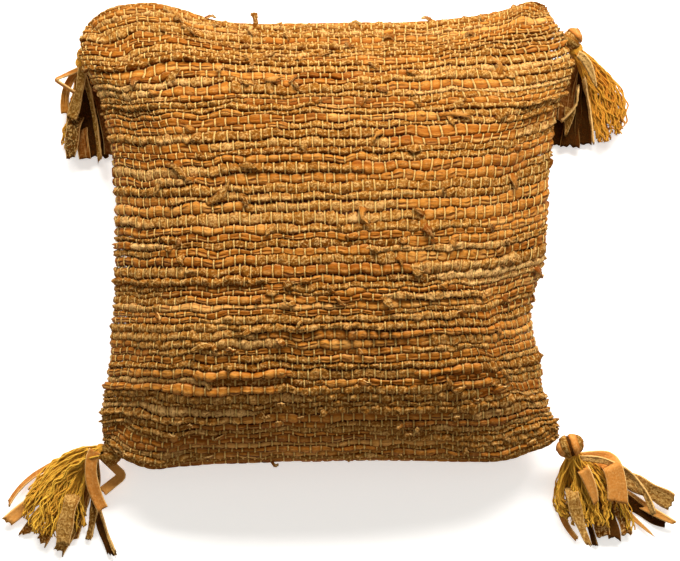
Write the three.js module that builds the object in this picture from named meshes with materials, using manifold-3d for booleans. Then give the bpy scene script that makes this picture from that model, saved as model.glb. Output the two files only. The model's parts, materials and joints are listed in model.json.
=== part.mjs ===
// A square cushion with a cover handwoven from leather strips, and a tassel at each corner.
// It lies on its back: X runs to the right across the face, Y towards the top edge, Z up from the
// surface. The origin is the middle of the flat patch that it rests on. Sizes are in millimetres.
import * as THREE from "three";
import { ParametricGeometry } from "three/addons/geometries/ParametricGeometry.js";
import { mergeGeometries, mergeVertices } from "three/addons/utils/BufferGeometryUtils.js";
import Module from "manifold-3d";

const wasm = await Module();
wasm.setup();

// The filled body.
const CROWN_ABOVE_SEAM = 78;
const CROWN_BELOW_SEAM = 76;
const SEAM_HEIGHT_AT_SIDES = 56;
const SEAM_HEIGHT_AT_CORNERS = 30;
const CORNER_DROOP_POWER = 2.2;
const CROWN_FLATNESS = 2.3;
const CROWN_SIDE_STEEPNESS = 0.56;
const CONTACT_ROUNDING = 7;

// The uneven filling: how high it swells, and two waves over the face, one wide and one slanted.
const LUMP = 4;
const WIDE_WAVE = { across: 2.6, acrossStart: 0.5, up: 3.1, upStart: 1.1 };
const SLANTED_WAVE = { across: 5.3, slant: -2.2, up: 4.7, share: 0.6 };

// The woven rows that run across it. The crowdings say how much closer the rows and the columns
// of a face stand near its seam. A row's relief has a least height, a share that differs from row
// to row, and a swell that runs along it.
const ROWS = 56;
const ROW_WIDTH_SPREAD = 0.42;
const ROW_CROWDING = 1.15;
const COLUMNS = 12;
const COLUMN_CROWDING = 0.4 * Math.PI;
const RELIEF = { least: 1.08, byRow: 0.9, swell: 0.54, swellsAcross: 5, swellShift: 2 };

// Clearances, and how finely the curves are measured and flat spots cleaned up.
const GAP = 0.45;
const ROOM_FOR_BODY = 0.5;
const FLATTEN_TOLERANCE = 0.03;
const MERGE_DISTANCE = 1e-3;
const SEAM_DIVISIONS = 400;

// The seam, seen from above: x, y of its points. Top and bottom run from left to right, the sides
// from top to bottom. The two upper corners stand up as lobes, and the right side is drawn in most.
const SEAM = {
  top: [
    [-235, 210], [-227, 217], [-216, 223], [-200, 227], [-171, 228], [-144, 222], [-113, 212],
    [-66, 208], [6, 209], [74, 210], [114, 213], [155, 219], [180, 226], [196, 231], [209, 228],
  ],
  right: [
    [209, 228], [217, 214], [225, 200], [231, 183], [234, 165], [228, 146], [219, 128],
    [214, 99], [211, 70], [209, 23], [205, -23], [197, -47], [193, -70], [197, -93], [203, -122],
    [206, -147], [211, -164], [219, -177], [222, -192],
  ],
  bottom: [
    [-219, -197], [-210, -206], [-195, -214], [-172, -221], [-144, -218], [-97, -215], [6, -212],
    [87, -212], [146, -214], [173, -212], [194, -205], [210, -200], [222, -192],
  ],
  left: [
    [-235, 210], [-241, 199], [-242, 185], [-239, 169], [-230, 155], [-222, 139], [-217, 120],
    [-212, 97], [-208, 62], [-206, 19], [-207, -44], [-210, -87], [-214, -132], [-219, -157],
    [-221, -179], [-219, -197],
  ],
};

// The tassels. Each has a rolled leather head, a tie round its neck, and a skirt of yarn locks and
// leather strips that falls to the surface and fans out there.
const ROUND_SIDES = 10;
const HEAD_STACKS = 7;
const ROOT_STACKS = 6;
const NECK_RADIUS = 6;
const NECK_LEAN = Math.PI / 8;
const TIE_LENGTH = 5.5;
const TIE_BEHIND_APEX = 6;
const TIE_THICKNESS = 3.2;
const TIE_DIP = 0.7;
const SKIRT_ROOT_RADIUS = 8.5;
const SKIRT_DEPTH = 17;
const SKIRT_FALL = 58;
const HIGHEST_LAYER = 19;
const STRIP_THICKNESS = 1.5;
const STRIP_STEPS = 4;
const STRIP_ROOT_SHARE = 0.35;
const STRIP_FULL_WIDTH_AT = 55;
const LOCK_RADIUS = 1.6;
const LOCK_ROOT_RADIUS = 0.7;
const LOCK_SIDES = 3;
const LOCK_STEPS = 3;
const LOCK_SHORTEST = 0.88;
const CRIMP = { size: 0.05, waves: 7, shift: 0.3 };

// head: its middle, then its half sizes in X, Y and Z. apex: where the skirt starts to spread.
// heading: which way the neck points, in degrees from X. locks: the first and last heading of the
// yarn fan, its reach at each, how many locks a layer has, and the heights at which they come to lie.
// strips: x, y of a point on the way, x, y of the end, width, and the height at which the end lies.
const TASSELS = {
  bottom_left: {
    head: { at: [-214, -208, 25], half: [9, 13, 9] },
    apex: [-229, -205, 21], heading: 175,
    locks: { from: 207, to: 256, reach: [98, 70], count: 6, layers: [7, 10.4, 13.8] },
    strips: [
      [-229, -231, -222, -265, 13, 19], [-197, -233, -221, -245, 10, 3.6],
      [-239, -242, -255, -300, 15, 16.4], [-222, -262, -215, -305, 5, 0.75],
      [-229, -257, -236, -294, 8, 3.6], [-241, -252, -265, -304, 11, 0.75],
      [-252, -244, -285, -292, 10, 0.75], [-260, -238, -304, -286, 9, 0.75],
      [-264, -231, -316, -276, 11, 3.6], [-275, -218, -310, -256, 7, 0.75],
    ],
  },
  bottom_right: {
    head: { at: [232.5, -198.5, 29], half: [13, 10, 10] },
    apex: [238, -213, 22], heading: 292,
    locks: { from: 268, to: 319, reach: [62, 80], count: 6, layers: [3.6, 7, 10.4] },
    strips: [
      [236, -252, 246, -298, 15, 13.8], [220, -257, 242, -296, 8, 0.75],
      [252, -238, 260, -261, 13, 16.4], [270, -217, 277, -256, 18, 13.8],
      [283, -223, 313, -268, 5, 10.4], [301, -231, 332, -260, 15, 7],
      [301, -247, 338, -278, 10, 3.6], [286, -252, 325, -277, 11, 0.75],
      [276, -252, 317, -286, 8, 3.6], [252, -262, 259, -300, 7, 0.75],
      [262, -257, 274, -292, 9, 0.75], [274, -252, 289, -290, 9, 0.75],
    ],
  },
  top_left: {
    head: { at: [-237, 180, 27], half: [9, 10, 9] },
    apex: [-242, 168, 21], heading: 262,
    locks: { from: 256, to: 280, reach: [78, 90], count: 5, layers: [7, 10.4] },
    strips: [
      [-250, 165, -268, 156, 11, 16.4], [-247, 141, -256, 79, 14, 13.8],
      [-241, 126, -239, 81, 11, 3.6], [-228, 136, -226, 78, 7, 3.6],
      [-222, 131, -217, 81, 9, 0.75], [-248, 131, -249, 81, 11, 0.75],
      [-236, 131, -233, 80, 9, 0.75],
    ],
  },
  top_right: {
    head: { at: [235.3, 195.3, 33], half: [9, 12, 10] },
    apex: [241, 181, 27], heading: 296,
    locks: { from: 280, to: 312, reach: [88, 80], count: 6, layers: [3.6, 7, 10.4, 13.8] },
    strips: [
      [254, 141, 259, 96, 7, 17.4], [244, 136, 250, 96, 13, 3.6],
      [240, 136, 229, 102, 11, 7], [232, 136, 223, 91, 12, 0.75],
      [241, 136, 239, 90, 12, 0.75], [249, 136, 255, 93, 10, 0.75],
    ],
  },
};

const woven = new THREE.MeshStandardMaterial({ color: "#a8703a", roughness: 0.85, metalness: 0 });
const tasselMix = new THREE.MeshStandardMaterial({ color: "#dca23c", roughness: 0.8, metalness: 0 });
const tieYarn = new THREE.MeshStandardMaterial({ color: "#e2a62d", roughness: 0.9, metalness: 0 });

// A closed mesh as a solid, and a solid as a geometry again.
function solidOf(geometry) {
  geometry.deleteAttribute("normal");
  geometry.deleteAttribute("uv");
  const merged = mergeVertices(geometry, MERGE_DISTANCE);
  return new wasm.Manifold(new wasm.Mesh({
    numProp: 3,
    vertProperties: merged.attributes.position.array,
    triVerts: new Uint32Array(merged.index.array),
  }));
}

function geometryOf(solid) {
  const mesh = solid.simplify(FLATTEN_TOLERANCE).getMesh();
  const geometry = new THREE.BufferGeometry();
  geometry.setAttribute("position", new THREE.BufferAttribute(mesh.vertProperties, 3));
  geometry.setIndex(new THREE.BufferAttribute(mesh.triVerts, 1));
  geometry.computeVertexNormals();
  return geometry;
}

function join(solids) {
  return solids.reduce((whole, piece) => whole.add(piece));
}

// A steady scatter between 0 and 1, so that every row and lock differs.
const SCATTER_TURN = 12.9898;
const SCATTER_STRETCH = 43758.5453;
function scatter(number) {
  const wide = Math.sin(number * SCATTER_TURN) * SCATTER_STRETCH;
  return wide - Math.floor(wide);
}

// A place from -1 to 1 moved outwards, so that even steps come to stand closer near the ends.
function crowded(place, crowding) {
  return Math.sin(crowding * place) / Math.sin(crowding);
}

// Where a row's lower border lies on the face, from -1 at the bottom seam to 1 at the top one.
const rowBorders = [0];
for (let row = 0; row < ROWS; row += 1) {
  const width = 1 + ROW_WIDTH_SPREAD * (2 * scatter(row + 1) - 1);
  rowBorders.push(rowBorders[row] + width);
}
function acrossRows(step) {
  const row = Math.min(Math.floor(step / 2), ROWS - 1);
  const part = step / 2 - row;
  const reached = THREE.MathUtils.lerp(rowBorders[row], rowBorders[row + 1], part);
  return crowded(2 * (reached / rowBorders[ROWS]) - 1, ROW_CROWDING);
}

const seamCurves = {};
for (const [side, points] of Object.entries(SEAM)) {
  seamCurves[side] = new THREE.CatmullRomCurve3(points.map(([x, y]) => new THREE.Vector3(x, y, 0)));
  seamCurves[side].arcLengthDivisions = SEAM_DIVISIONS;
}

// The corners of the face joined by straight lines, over u and v from -1 to 1.
function straightSheet(u, v) {
  const top = seamCurves.top.points;
  const bottom = seamCurves.bottom.points;
  const above = top[0].clone().lerp(top.at(-1), (u + 1) / 2);
  const below = bottom[0].clone().lerp(bottom.at(-1), (u + 1) / 2);
  return below.lerp(above, (v + 1) / 2);
}

// The middle sheet between the two faces: straight in the middle, it takes on the seam's curves
// towards its rim. The seam is lowest at the corners.
function middleSheet(u, v) {
  const reach = Math.max(Math.abs(u), Math.abs(v));
  const sheet = straightSheet(u, v);
  if (reach > 0) {
    const [rimU, rimV] = [u / reach, v / reach];
    const onSide = Math.abs(u) > Math.abs(v);
    const curve = onSide ? seamCurves[u > 0 ? "right" : "left"] : seamCurves[v > 0 ? "top" : "bottom"];
    const along = onSide ? (1 - rimV) / 2 : (1 + rimU) / 2;
    const drawn = curve.getPointAt(THREE.MathUtils.clamp(along, 0, 1)).sub(straightSheet(rimU, rimV));
    sheet.addScaledVector(drawn, reach ** 2);
  }
  const droop = Math.abs(u * v) ** CORNER_DROOP_POWER;
  sheet.z = THREE.MathUtils.lerp(SEAM_HEIGHT_AT_SIDES, SEAM_HEIGHT_AT_CORNERS, droop);
  return sheet;
}

function crown(u, v) {
  const fullness = (1 - Math.abs(u) ** CROWN_FLATNESS) * (1 - Math.abs(v) ** CROWN_FLATNESS);
  return Math.max(fullness, 0) ** CROWN_SIDE_STEEPNESS;
}

function lumps(u, v) {
  const { across, acrossStart, up, upStart } = WIDE_WAVE;
  const wide = Math.sin(across * u + acrossStart) * Math.sin(up * v + upStart);
  const slanted = Math.sin(SLANTED_WAVE.across * u + SLANTED_WAVE.slant * v) * Math.cos(SLANTED_WAVE.up * v);
  return wide + SLANTED_WAVE.share * slanted;
}

// Rests a height on the surface: what would sink in is flat, with a rounded rim.
function rest(height) {
  if (height <= -CONTACT_ROUNDING) return 0;
  if (height >= CONTACT_ROUNDING) return height;
  return (height + CONTACT_ROUNDING) ** 2 / (4 * CONTACT_ROUNDING);
}

// A smooth face of the cushion: side is 1 above the seam and -1 below it.
function smoothFace(u, v, side) {
  const point = middleSheet(u, v);
  const rise = crown(u, v);
  if (side > 0) point.z += rise * (CROWN_ABOVE_SEAM + LUMP * lumps(u, v));
  else point.z = rest(point.z - rise * CROWN_BELOW_SEAM);
  return point;
}

// Which way the face looks. On the seam that is level and square to the seam.
function outward(u, v, side) {
  const nudge = 0.01;
  const onSide = Math.abs(u) > 1 - nudge;
  const onEnd = Math.abs(v) > 1 - nudge;
  if (onSide || onEnd) {
    const level = new THREE.Vector3();
    const inU = u < 0 ? -nudge : nudge;
    const inV = v < 0 ? -nudge : nudge;
    const here = middleSheet(u, v);
    if (onSide) {
      const along = here.clone().sub(middleSheet(u, v - inV)).multiplyScalar(Math.sign(inU * inV));
      level.add(new THREE.Vector3(along.y, -along.x, 0).normalize());
    }
    if (onEnd) {
      const along = here.clone().sub(middleSheet(u - inU, v)).multiplyScalar(Math.sign(inU * inV));
      level.add(new THREE.Vector3(-along.y, along.x, 0).normalize());
    }
    return level.normalize();
  }
  const alongU = smoothFace(u + nudge, v, side).sub(smoothFace(u - nudge, v, side));
  const alongV = smoothFace(u, v + nudge, side).sub(smoothFace(u, v - nudge, side));
  return alongU.cross(alongV).multiplyScalar(side).normalize();
}

// How high a row stands at a place across the face.
function relief(row, u) {
  const swell = Math.sin(RELIEF.swellsAcross * u + RELIEF.swellShift * row);
  return RELIEF.least + RELIEF.byRow * scatter(row + ROWS) + RELIEF.swell * swell;
}

// A face with its woven rows raised: every other step across the rows is the middle of one.
function wovenFace(side) {
  const place = (slice, stack, target) => {
    const step = Math.round(stack * 2 * ROWS);
    const u = side * crowded(2 * slice - 1, COLUMN_CROWDING);
    const v = acrossRows(step);
    const point = smoothFace(u, v, side);
    target.copy(point);
    if (step % 2 && point.z > 0) target.addScaledVector(outward(u, v, side), relief((step - 1) / 2, u));
    target.z = Math.max(target.z, 0);
  };
  return new ParametricGeometry(place, COLUMNS, 2 * ROWS);
}

function cushionSolid() {
  return solidOf(mergeGeometries([wovenFace(1), wovenFace(-1)]));
}

// What is left of a solid when the body, moved a little each way, is cut out of it.
function clearOf(body, solid) {
  const steps = [-ROOM_FOR_BODY, 0, ROOM_FOR_BODY];
  const moves = steps.flatMap((x) => steps.flatMap((y) => steps.map((z) => [x, y, z])));
  return moves.reduce((left, move) => left.subtract(body.translate(move)), solid);
}

// The height of a strand at a distance from its root: it falls with the others of its skirt, each
// keeping its place in the pile, and then runs level.
function strandHeight(apexHeight, layer, distance) {
  const left = Math.max(1 - distance / SKIRT_FALL, 0) ** 2;
  const start = apexHeight + SKIRT_DEPTH * (layer / HIGHEST_LAYER - 0.5);
  return layer + (start - layer) * left;
}

// Bends a straight piece, standing on the XZ plane and 1 long in Y, along a way over the surface.
function bendAlong(piece, way, apex, layer, narrowing) {
  const position = piece.attributes.position;
  const nudge = 0.02;
  for (let i = 0; i < position.count; i += 1) {
    const along = position.getY(i);
    const here = way(along);
    const ahead = way(Math.min(along + nudge, 1)).sub(way(Math.max(along - nudge, 0))).normalize();
    const distance = Math.hypot(here.x - apex.x, here.y - apex.y);
    const across = position.getX(i) * narrowing(distance);
    position.setXYZ(
      i,
      here.x + ahead.y * across,
      here.y - ahead.x * across,
      strandHeight(apex.z, layer, distance) + position.getZ(i),
    );
  }
  return solidOf(piece);
}

function leatherStrip(apex, [viaX, viaY, endX, endY, width, layer]) {
  const piece = new THREE.BoxGeometry(width, 1, STRIP_THICKNESS, 1, STRIP_STEPS, 1).translate(0, 0.5, 0);
  const curve = new THREE.SplineCurve([
    new THREE.Vector2(apex.x, apex.y),
    new THREE.Vector2(viaX, viaY),
    new THREE.Vector2(endX, endY),
  ]);
  const gathered = (distance) => {
    const opened = THREE.MathUtils.smoothstep(distance, 0, STRIP_FULL_WIDTH_AT);
    return THREE.MathUtils.lerp(STRIP_ROOT_SHARE, 1, opened);
  };
  return bendAlong(piece, (along) => curve.getPointAt(along), apex, layer, gathered);
}

function yarnLock(apex, heading, reach, layer, number) {
  const piece = new THREE.CylinderGeometry(LOCK_RADIUS, LOCK_ROOT_RADIUS, 1, LOCK_SIDES, LOCK_STEPS);
  const way = (along) => {
    const crimp = CRIMP.size * Math.sin(CRIMP.waves * along + layer + CRIMP.shift * number);
    const angle = THREE.MathUtils.degToRad(heading) + crimp * along;
    const gone = reach * along;
    return new THREE.Vector2(apex.x + gone * Math.cos(angle), apex.y + gone * Math.sin(angle));
  };
  return bendAlong(piece.translate(0, 0.5, 0), way, apex, layer, () => 1);
}

function yarnLocks(apex, { from, to, reach, count, layers }) {
  const solids = [];
  for (const [depth, layer] of layers.entries()) {
    for (let i = 0; i < count; i += 1) {
      const part = (i + (depth % 2 ? 0.5 : 0)) / (count - 0.5);
      const share = THREE.MathUtils.lerp(LOCK_SHORTEST, 1, scatter(i + count * depth));
      const length = share * THREE.MathUtils.lerp(reach[0], reach[1], part);
      solids.push(yarnLock(apex, THREE.MathUtils.lerp(from, to, part), length, layer, i));
    }
  }
  return solids;
}

// Turns a piece that stands along Y to a heading, leaning down to the surface, and puts it in place.
function lay(piece, heading, at) {
  const turn = new THREE.Matrix4().makeRotationZ(THREE.MathUtils.degToRad(heading - 90));
  const lean = new THREE.Matrix4().makeRotationX(-NECK_LEAN);
  return piece.applyMatrix4(turn.multiply(lean)).translate(at.x, at.y, at.z);
}

// The yarn wound round the neck, as one lumpy ring of three turns. Grown, it is the room for it.
function tieRing(grown) {
  const inner = NECK_RADIUS + GAP - grown;
  const outer = NECK_RADIUS + TIE_THICKNESS + grown;
  const half = TIE_LENGTH / 2 + grown;
  const profile = [
    [inner, -half],
    [outer - TIE_DIP, -half],
    [outer, -half / 2],
    [outer - TIE_DIP, 0],
    [outer, half / 2],
    [outer - TIE_DIP, half],
    [inner, half],
    [inner, -half],
  ];
  const ring = new THREE.LatheGeometry(profile.map(([x, y]) => new THREE.Vector2(x, y)), ROUND_SIDES);
  return ring.translate(0, -TIE_BEHIND_APEX, 0);
}

// One tassel: its knob, its neck with room for the tie, and the root that holds all its strands.
function tasselSolid({ head, apex, heading, locks, strips }, body) {
  const start = new THREE.Vector3(...apex);
  const knob = new THREE.SphereGeometry(1, ROUND_SIDES, HEAD_STACKS);
  knob.scale(...head.half).translate(...head.at);
  const root = new THREE.SphereGeometry(SKIRT_ROOT_RADIUS, ROUND_SIDES, ROOT_STACKS);
  const neckLength = 2 * TIE_BEHIND_APEX;
  const neck = new THREE.CylinderGeometry(NECK_RADIUS, NECK_RADIUS, neckLength, ROUND_SIDES);
  const whole = join([
    solidOf(knob),
    solidOf(lay(neck.translate(0, -neckLength / 2, 0), heading, start)),
    solidOf(lay(root, heading, start)),
    ...yarnLocks(start, locks),
    ...strips.map((row) => leatherStrip(start, row)),
  ]);
  return clearOf(body, whole).subtract(solidOf(lay(tieRing(GAP), heading, start)));
}

const group = new THREE.Group();
function addPiece(name, geometry, material) {
  const mesh = new THREE.Mesh(geometry, material);
  mesh.name = name;
  group.add(mesh);
}

const body = cushionSolid();
addPiece("cushion", geometryOf(body), woven);
for (const [corner, tassel] of Object.entries(TASSELS)) {
  const start = new THREE.Vector3(...tassel.apex);
  addPiece(`tassel_${corner}`, geometryOf(tasselSolid(tassel, body)), tasselMix);
  addPiece(`tie_${corner}`, lay(tieRing(0), tassel.heading, start), tieYarn);
}

export default group;
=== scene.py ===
# %% [markdown]
# # A leather cushion with tassels
#
# The cover of this cushion is woven by hand. Strips cut from leather scraps are the weft, thin
# cotton threads are the warp, and every corner carries a tassel of yarn and leather strips. The
# solids that give the cushion its size are loaded first. They are never moved: everything that is
# made here is laid over them, in metres, and stands for them in the picture.

import json
from functools import cache

import bmesh
import bpy
import numpy as np
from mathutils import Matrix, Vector
from mathutils.bvhtree import BVHTree

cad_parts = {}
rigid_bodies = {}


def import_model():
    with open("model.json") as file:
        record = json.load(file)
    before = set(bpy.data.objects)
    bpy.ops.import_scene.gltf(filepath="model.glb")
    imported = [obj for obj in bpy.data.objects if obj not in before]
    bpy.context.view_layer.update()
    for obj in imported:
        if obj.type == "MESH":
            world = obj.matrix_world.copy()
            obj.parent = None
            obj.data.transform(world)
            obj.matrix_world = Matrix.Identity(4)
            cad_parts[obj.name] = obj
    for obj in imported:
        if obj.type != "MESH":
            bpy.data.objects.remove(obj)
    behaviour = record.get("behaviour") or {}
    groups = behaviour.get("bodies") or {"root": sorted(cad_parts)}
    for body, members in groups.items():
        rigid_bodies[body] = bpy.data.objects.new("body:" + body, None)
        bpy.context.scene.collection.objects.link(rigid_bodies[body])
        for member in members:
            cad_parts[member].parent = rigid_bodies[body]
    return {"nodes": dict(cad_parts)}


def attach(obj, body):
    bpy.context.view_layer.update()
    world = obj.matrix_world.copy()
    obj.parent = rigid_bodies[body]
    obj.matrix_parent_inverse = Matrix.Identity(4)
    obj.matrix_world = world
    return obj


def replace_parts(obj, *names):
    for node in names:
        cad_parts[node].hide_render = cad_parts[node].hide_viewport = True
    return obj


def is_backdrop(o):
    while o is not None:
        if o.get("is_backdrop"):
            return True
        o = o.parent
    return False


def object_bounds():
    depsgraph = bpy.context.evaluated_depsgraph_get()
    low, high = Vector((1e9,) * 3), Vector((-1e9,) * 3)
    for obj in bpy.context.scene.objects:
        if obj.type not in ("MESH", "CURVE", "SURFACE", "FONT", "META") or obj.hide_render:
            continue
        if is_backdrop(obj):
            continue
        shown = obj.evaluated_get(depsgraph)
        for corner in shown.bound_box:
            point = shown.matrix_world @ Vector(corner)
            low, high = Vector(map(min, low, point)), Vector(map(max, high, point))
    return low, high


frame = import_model()
cad_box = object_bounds()
MM = 0.001
print("solids:", ", ".join(sorted(frame["nodes"])))

# %% [markdown]
# ## The camera
#
# The cushion lies on its back and is seen square to its face, so the camera hangs straight above
# it and looks down. A long lens from far away keeps the seam and the raised middle at nearly the
# same scale. The lens follows from the width of the picture and from the size of one pixel, which
# holds at about the height of the seam.

# %% Hang the camera
PICTURE = (680, 561)
PIXEL = 0.97 * MM
MIDDLE_OF_PATCH = (330, 240)
SEAM_HEIGHT = 0.05
CAMERA_HEIGHT = 4.2

camera_data = bpy.data.cameras.new("camera")
camera_data.sensor_width = 36
camera_data.lens = camera_data.sensor_width * (CAMERA_HEIGHT - SEAM_HEIGHT) / (PICTURE[0] * PIXEL)
camera = bpy.data.objects.new("camera", camera_data)
camera.location = (
    (PICTURE[0] / 2 - MIDDLE_OF_PATCH[0]) * PIXEL,
    (MIDDLE_OF_PATCH[1] - PICTURE[1] / 2) * PIXEL,
    CAMERA_HEIGHT,
)
bpy.context.scene.collection.objects.link(camera)
bpy.context.scene.camera = camera
print(f"lens {camera_data.lens:.0f} mm")

# %% [markdown]
# ## Light
#
# A soft box, wide and low, stands beyond the top edge, so that the rows shade each other and the
# lower slope of the cushion falls into shade. A weak one hangs overhead, and a pale world fills
# the shadows. The standard colour view keeps the warm colours as strong as they are.

# %% Set the light
WORLD_COLOUR = (1, 0.93, 0.8, 1)
WORLD_STRENGTH = 0.27


def lamp(name, place, target, size, power, colour):
    light = bpy.data.lights.new(name, "AREA")
    light.shape = "RECTANGLE"
    light.size, light.size_y = size
    light.energy = power
    light.color = colour
    stand = bpy.data.objects.new(name, light)
    stand.location = place
    stand.rotation_mode = "QUATERNION"
    stand.rotation_quaternion = (Vector(target) - Vector(place)).to_track_quat("-Z", "Y")
    bpy.context.scene.collection.objects.link(stand)


lamp(
    "key", place=(0.3, 2.3, 1.75), target=(0, -0.05, 0.05), size=(3.2, 0.7), power=218,
    colour=(1, 0.98, 0.95),
)
lamp(
    "fill", place=(0.3, 0.2, 3.0), target=(0, 0, 0), size=(2.2, 2.2), power=8,
    colour=(1, 0.98, 0.96),
)
world = bpy.data.worlds.new("studio")
world.use_nodes = True
sky = world.node_tree.nodes["Background"].inputs
sky["Color"].default_value = WORLD_COLOUR
sky["Strength"].default_value = WORLD_STRENGTH
bpy.context.scene.world = world
bpy.context.scene.view_settings.view_transform = "Standard"
print("lamps:", len(bpy.data.lights))

# %% [markdown]
# ## Floor
#
# One large square carries the cushion. It lies a hair below the solids, so the two never fight
# for the same pixels, and it is marked as stage, which tells the frame that it is no piece.

# %% Lay the floor
FLOOR_SIZE = 12
FLOOR_CLEARANCE = 0.3 * MM


def link(name, mesh):
    made = bpy.data.objects.new(name, mesh)
    bpy.context.scene.collection.objects.link(made)
    return made


bm = bmesh.new()
bmesh.ops.create_grid(bm, x_segments=1, y_segments=1, size=FLOOR_SIZE / 2)
bmesh.ops.translate(bm, verts=bm.verts, vec=(0, 0, -FLOOR_CLEARANCE))
floor_mesh = bpy.data.meshes.new("floor")
bm.to_mesh(floor_mesh)
bm.free()
link("floor", floor_mesh)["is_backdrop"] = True
print(f"floor {FLOOR_SIZE} m wide")

# %% [markdown]
# ## Writing materials as sums
#
# A shader is a web of small nodes. Here a class wraps the output of a node, so that sums such as
# `1 - mask` add their own Math nodes. That keeps a material short enough to read.

# %% Wrap a socket
class Wire:
    """The output of a node, which takes part in sums as a number does."""

    def __init__(self, finish, socket):
        self.finish = finish
        self.socket = socket

    def sum(self, operation, first, second):
        return self.finish.node("Math", {"operation": operation}, {0: first, 1: second})

    def __add__(self, other):
        return self.sum("ADD", self, other)

    __radd__ = __add__

    def __sub__(self, other):
        return self.sum("SUBTRACT", self, other)

    def __rsub__(self, other):
        return self.sum("SUBTRACT", other, self)

    def __mul__(self, other):
        return self.sum("MULTIPLY", self, other)

    __rmul__ = __mul__


# %% [markdown]
# ## One method for every node
#
# A finish is a material in the making. Its method `node` adds any kind of node from its settings
# and the values or wires of its sockets. The other methods are the few that leather needs most:
# mix two colours, stretch a value, read a number that the mesh carries, and close the material
# with its bumps, one over the other.

# %% Build a finish
SHEEN_TINT = (0.9, 0.6, 0.25, 1)
GLOW_COLOUR = (1, 1, 1, 1)


class Finish:
    """A material that is built up node by node."""

    def __init__(self, name):
        self.material = bpy.data.materials.new(name)
        self.material.use_nodes = True
        self.tree = self.material.node_tree
        self.tree.nodes.clear()

    def node(self, kind, settings=None, sockets=None, output=0):
        made = self.tree.nodes.new("ShaderNode" + kind)
        for name, value in (settings or {}).items():
            if name == "stops":
                ramp = made.color_ramp
                while len(ramp.elements) < len(value):
                    ramp.elements.new(0.5)
                for element, (position, colour) in zip(ramp.elements, value):
                    element.position = position
                    element.color = (*colour, 1)
            else:
                setattr(made, name, value)
        for name, value in (sockets or {}).items():
            if isinstance(value, Wire):
                self.tree.links.new(value.socket, made.inputs[name])
            else:
                made.inputs[name].default_value = value
        return Wire(self, made.outputs[output]) if made.outputs else None

    def mix(self, factor, first, second):
        first, second = (c if isinstance(c, Wire) else (*c, 1) for c in (first, second))
        return self.node("Mix", {"data_type": "RGBA"}, {0: factor, 6: first, 7: second}, output=2)

    def shade(self, wire, dark, pale):
        """Spreads a value between two limits over the whole range from 0 to 1."""
        limits = {"From Min": dark, "From Max": pale}
        return self.node("MapRange", {"clamp": True}, {"Value": wire, **limits})

    def place(self):
        """Where a point lies on its piece, in metres."""
        return self.node("TexCoord", output=3)

    def strip(self):
        """Where a point lies along and across its own strip or thread, in metres."""
        return self.node("UVMap", {"uv_map": "strip"})

    def mark(self, name):
        """A number that the mesh carries at its points or faces."""
        return self.node("Attribute", {"attribute_name": name}, output=2)

    def noise(self, place, scale, detail=3, roughness=0.5):
        sockets = {"Vector": place, "Scale": scale, "Detail": detail, "Roughness": roughness}
        return self.node("TexNoise", None, sockets)

    def done(self, colour, roughness, bumps, sheen=0.0, specular=0.25, glow=0.0):
        """bumps are pairs of a height and how deep it goes in metres."""
        below = {}
        for height, depth in bumps:
            bump = {"Height": height, "Distance": depth, "Strength": 1.0, **below}
            below = {"Normal": self.node("Bump", None, bump)}
        sockets = {"Base Color": colour, "Roughness": roughness, "Specular IOR Level": specular}
        sockets |= {"Sheen Weight": sheen, "Sheen Tint": SHEEN_TINT}
        sockets |= {"Emission Strength": glow, "Emission Color": GLOW_COLOUR}
        surface = self.node("BsdfPrincipled", None, sockets | below)
        self.node("OutputMaterial", None, {"Surface": surface})
        return self.material


def rgb(red, green, blue):
    """A colour given from 0 to 255, as the renderer counts it."""
    shares = np.array([red, green, blue]) / 255
    return tuple(np.where(shares <= 0.04045, shares / 12.92, ((shares + 0.055) / 1.055) ** 2.4))


# %% [markdown]
# ## Patterns that follow a strip
#
# Creases and fibres run along a strip wherever it bends, so they are read from its own UV map and
# not from its place in the room. Each point also carries its crest, which says how high it stands
# in the weave. Shade is painted by it: the valleys between the strips are painted darker than the
# worn tops.

# %% Lay patterns along a strip
STRIP_WIDTH = 7.4 * MM


def strip_place(finish, along, across, slant=0.0):
    """The place on a strip, stretched so that a pattern is longer along it than across it."""
    turned = finish.node("Mapping", None, {"Vector": finish.strip(), "Rotation": (0, 0, slant)})
    return finish.node("Mapping", None, {"Vector": turned, "Scale": (along, across, 1)})


def strip_share(finish):
    """How far down its strip a point lies: 0 at the upper edge and 1 at the lower one."""
    metres = finish.node("SeparateXYZ", None, {"Vector": finish.strip()}, output=1)
    return metres * (1 / STRIP_WIDTH)


def line_along(finish, across, middle, half):
    """1 on a line that runs along the strip at the given share of its width, and 0 beside it."""
    away = finish.node("Math", {"operation": "ABSOLUTE"}, {0: across - middle})
    return 1 - finish.shade(away, half * 0.4, half)


def with_painted_shade(finish, top, across, strength, flank, under, gap):
    """Painted shade on a strip as it turns down: on its flanks, at its lower edge and in the gaps.
    """
    crest = finish.mark("crest")
    side = finish.mix(finish.shade(crest, 0.25, 0.85), flank, top)
    side = finish.mix(0.5 * strength * finish.shade(across, 0.6, 0.95), side, under)
    return finish.mix(finish.shade(crest, 0.0, 0.42), gap, side)


# %% [markdown]
# ## Grain leather
#
# These strips are scraps of hides dyed in warm tans, with the smooth grain up. The colour is laid
# on in layers: the dye, with a tone for each strip, the wear on the tops, painted shade in the fine
# creases, and one long fold, which is a painted shadow in a slit with a painted highlight on the
# lip beside it. Where the fold ends, a pale line along the upper edge stands partly for the edge
# that was cut and partly for a painted highlight where that edge faces the light.

# %% Mix the grain leather
WORN = rgb(230, 182, 112)
PAINTED_CREASE_SHADE = rgb(104, 48, 2)
PAINTED_LIP_HIGHLIGHT = rgb(222, 170, 92)
PAINTED_FOLD_SHADOW = rgb(72, 26, 0)
# Painted shade of the grain leather: on its flanks, at its lower edge and in the gaps.
GRAIN_PAINTED_SHADE = (rgb(136, 66, 2), rgb(108, 44, 0), rgb(74, 27, 0))


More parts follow.
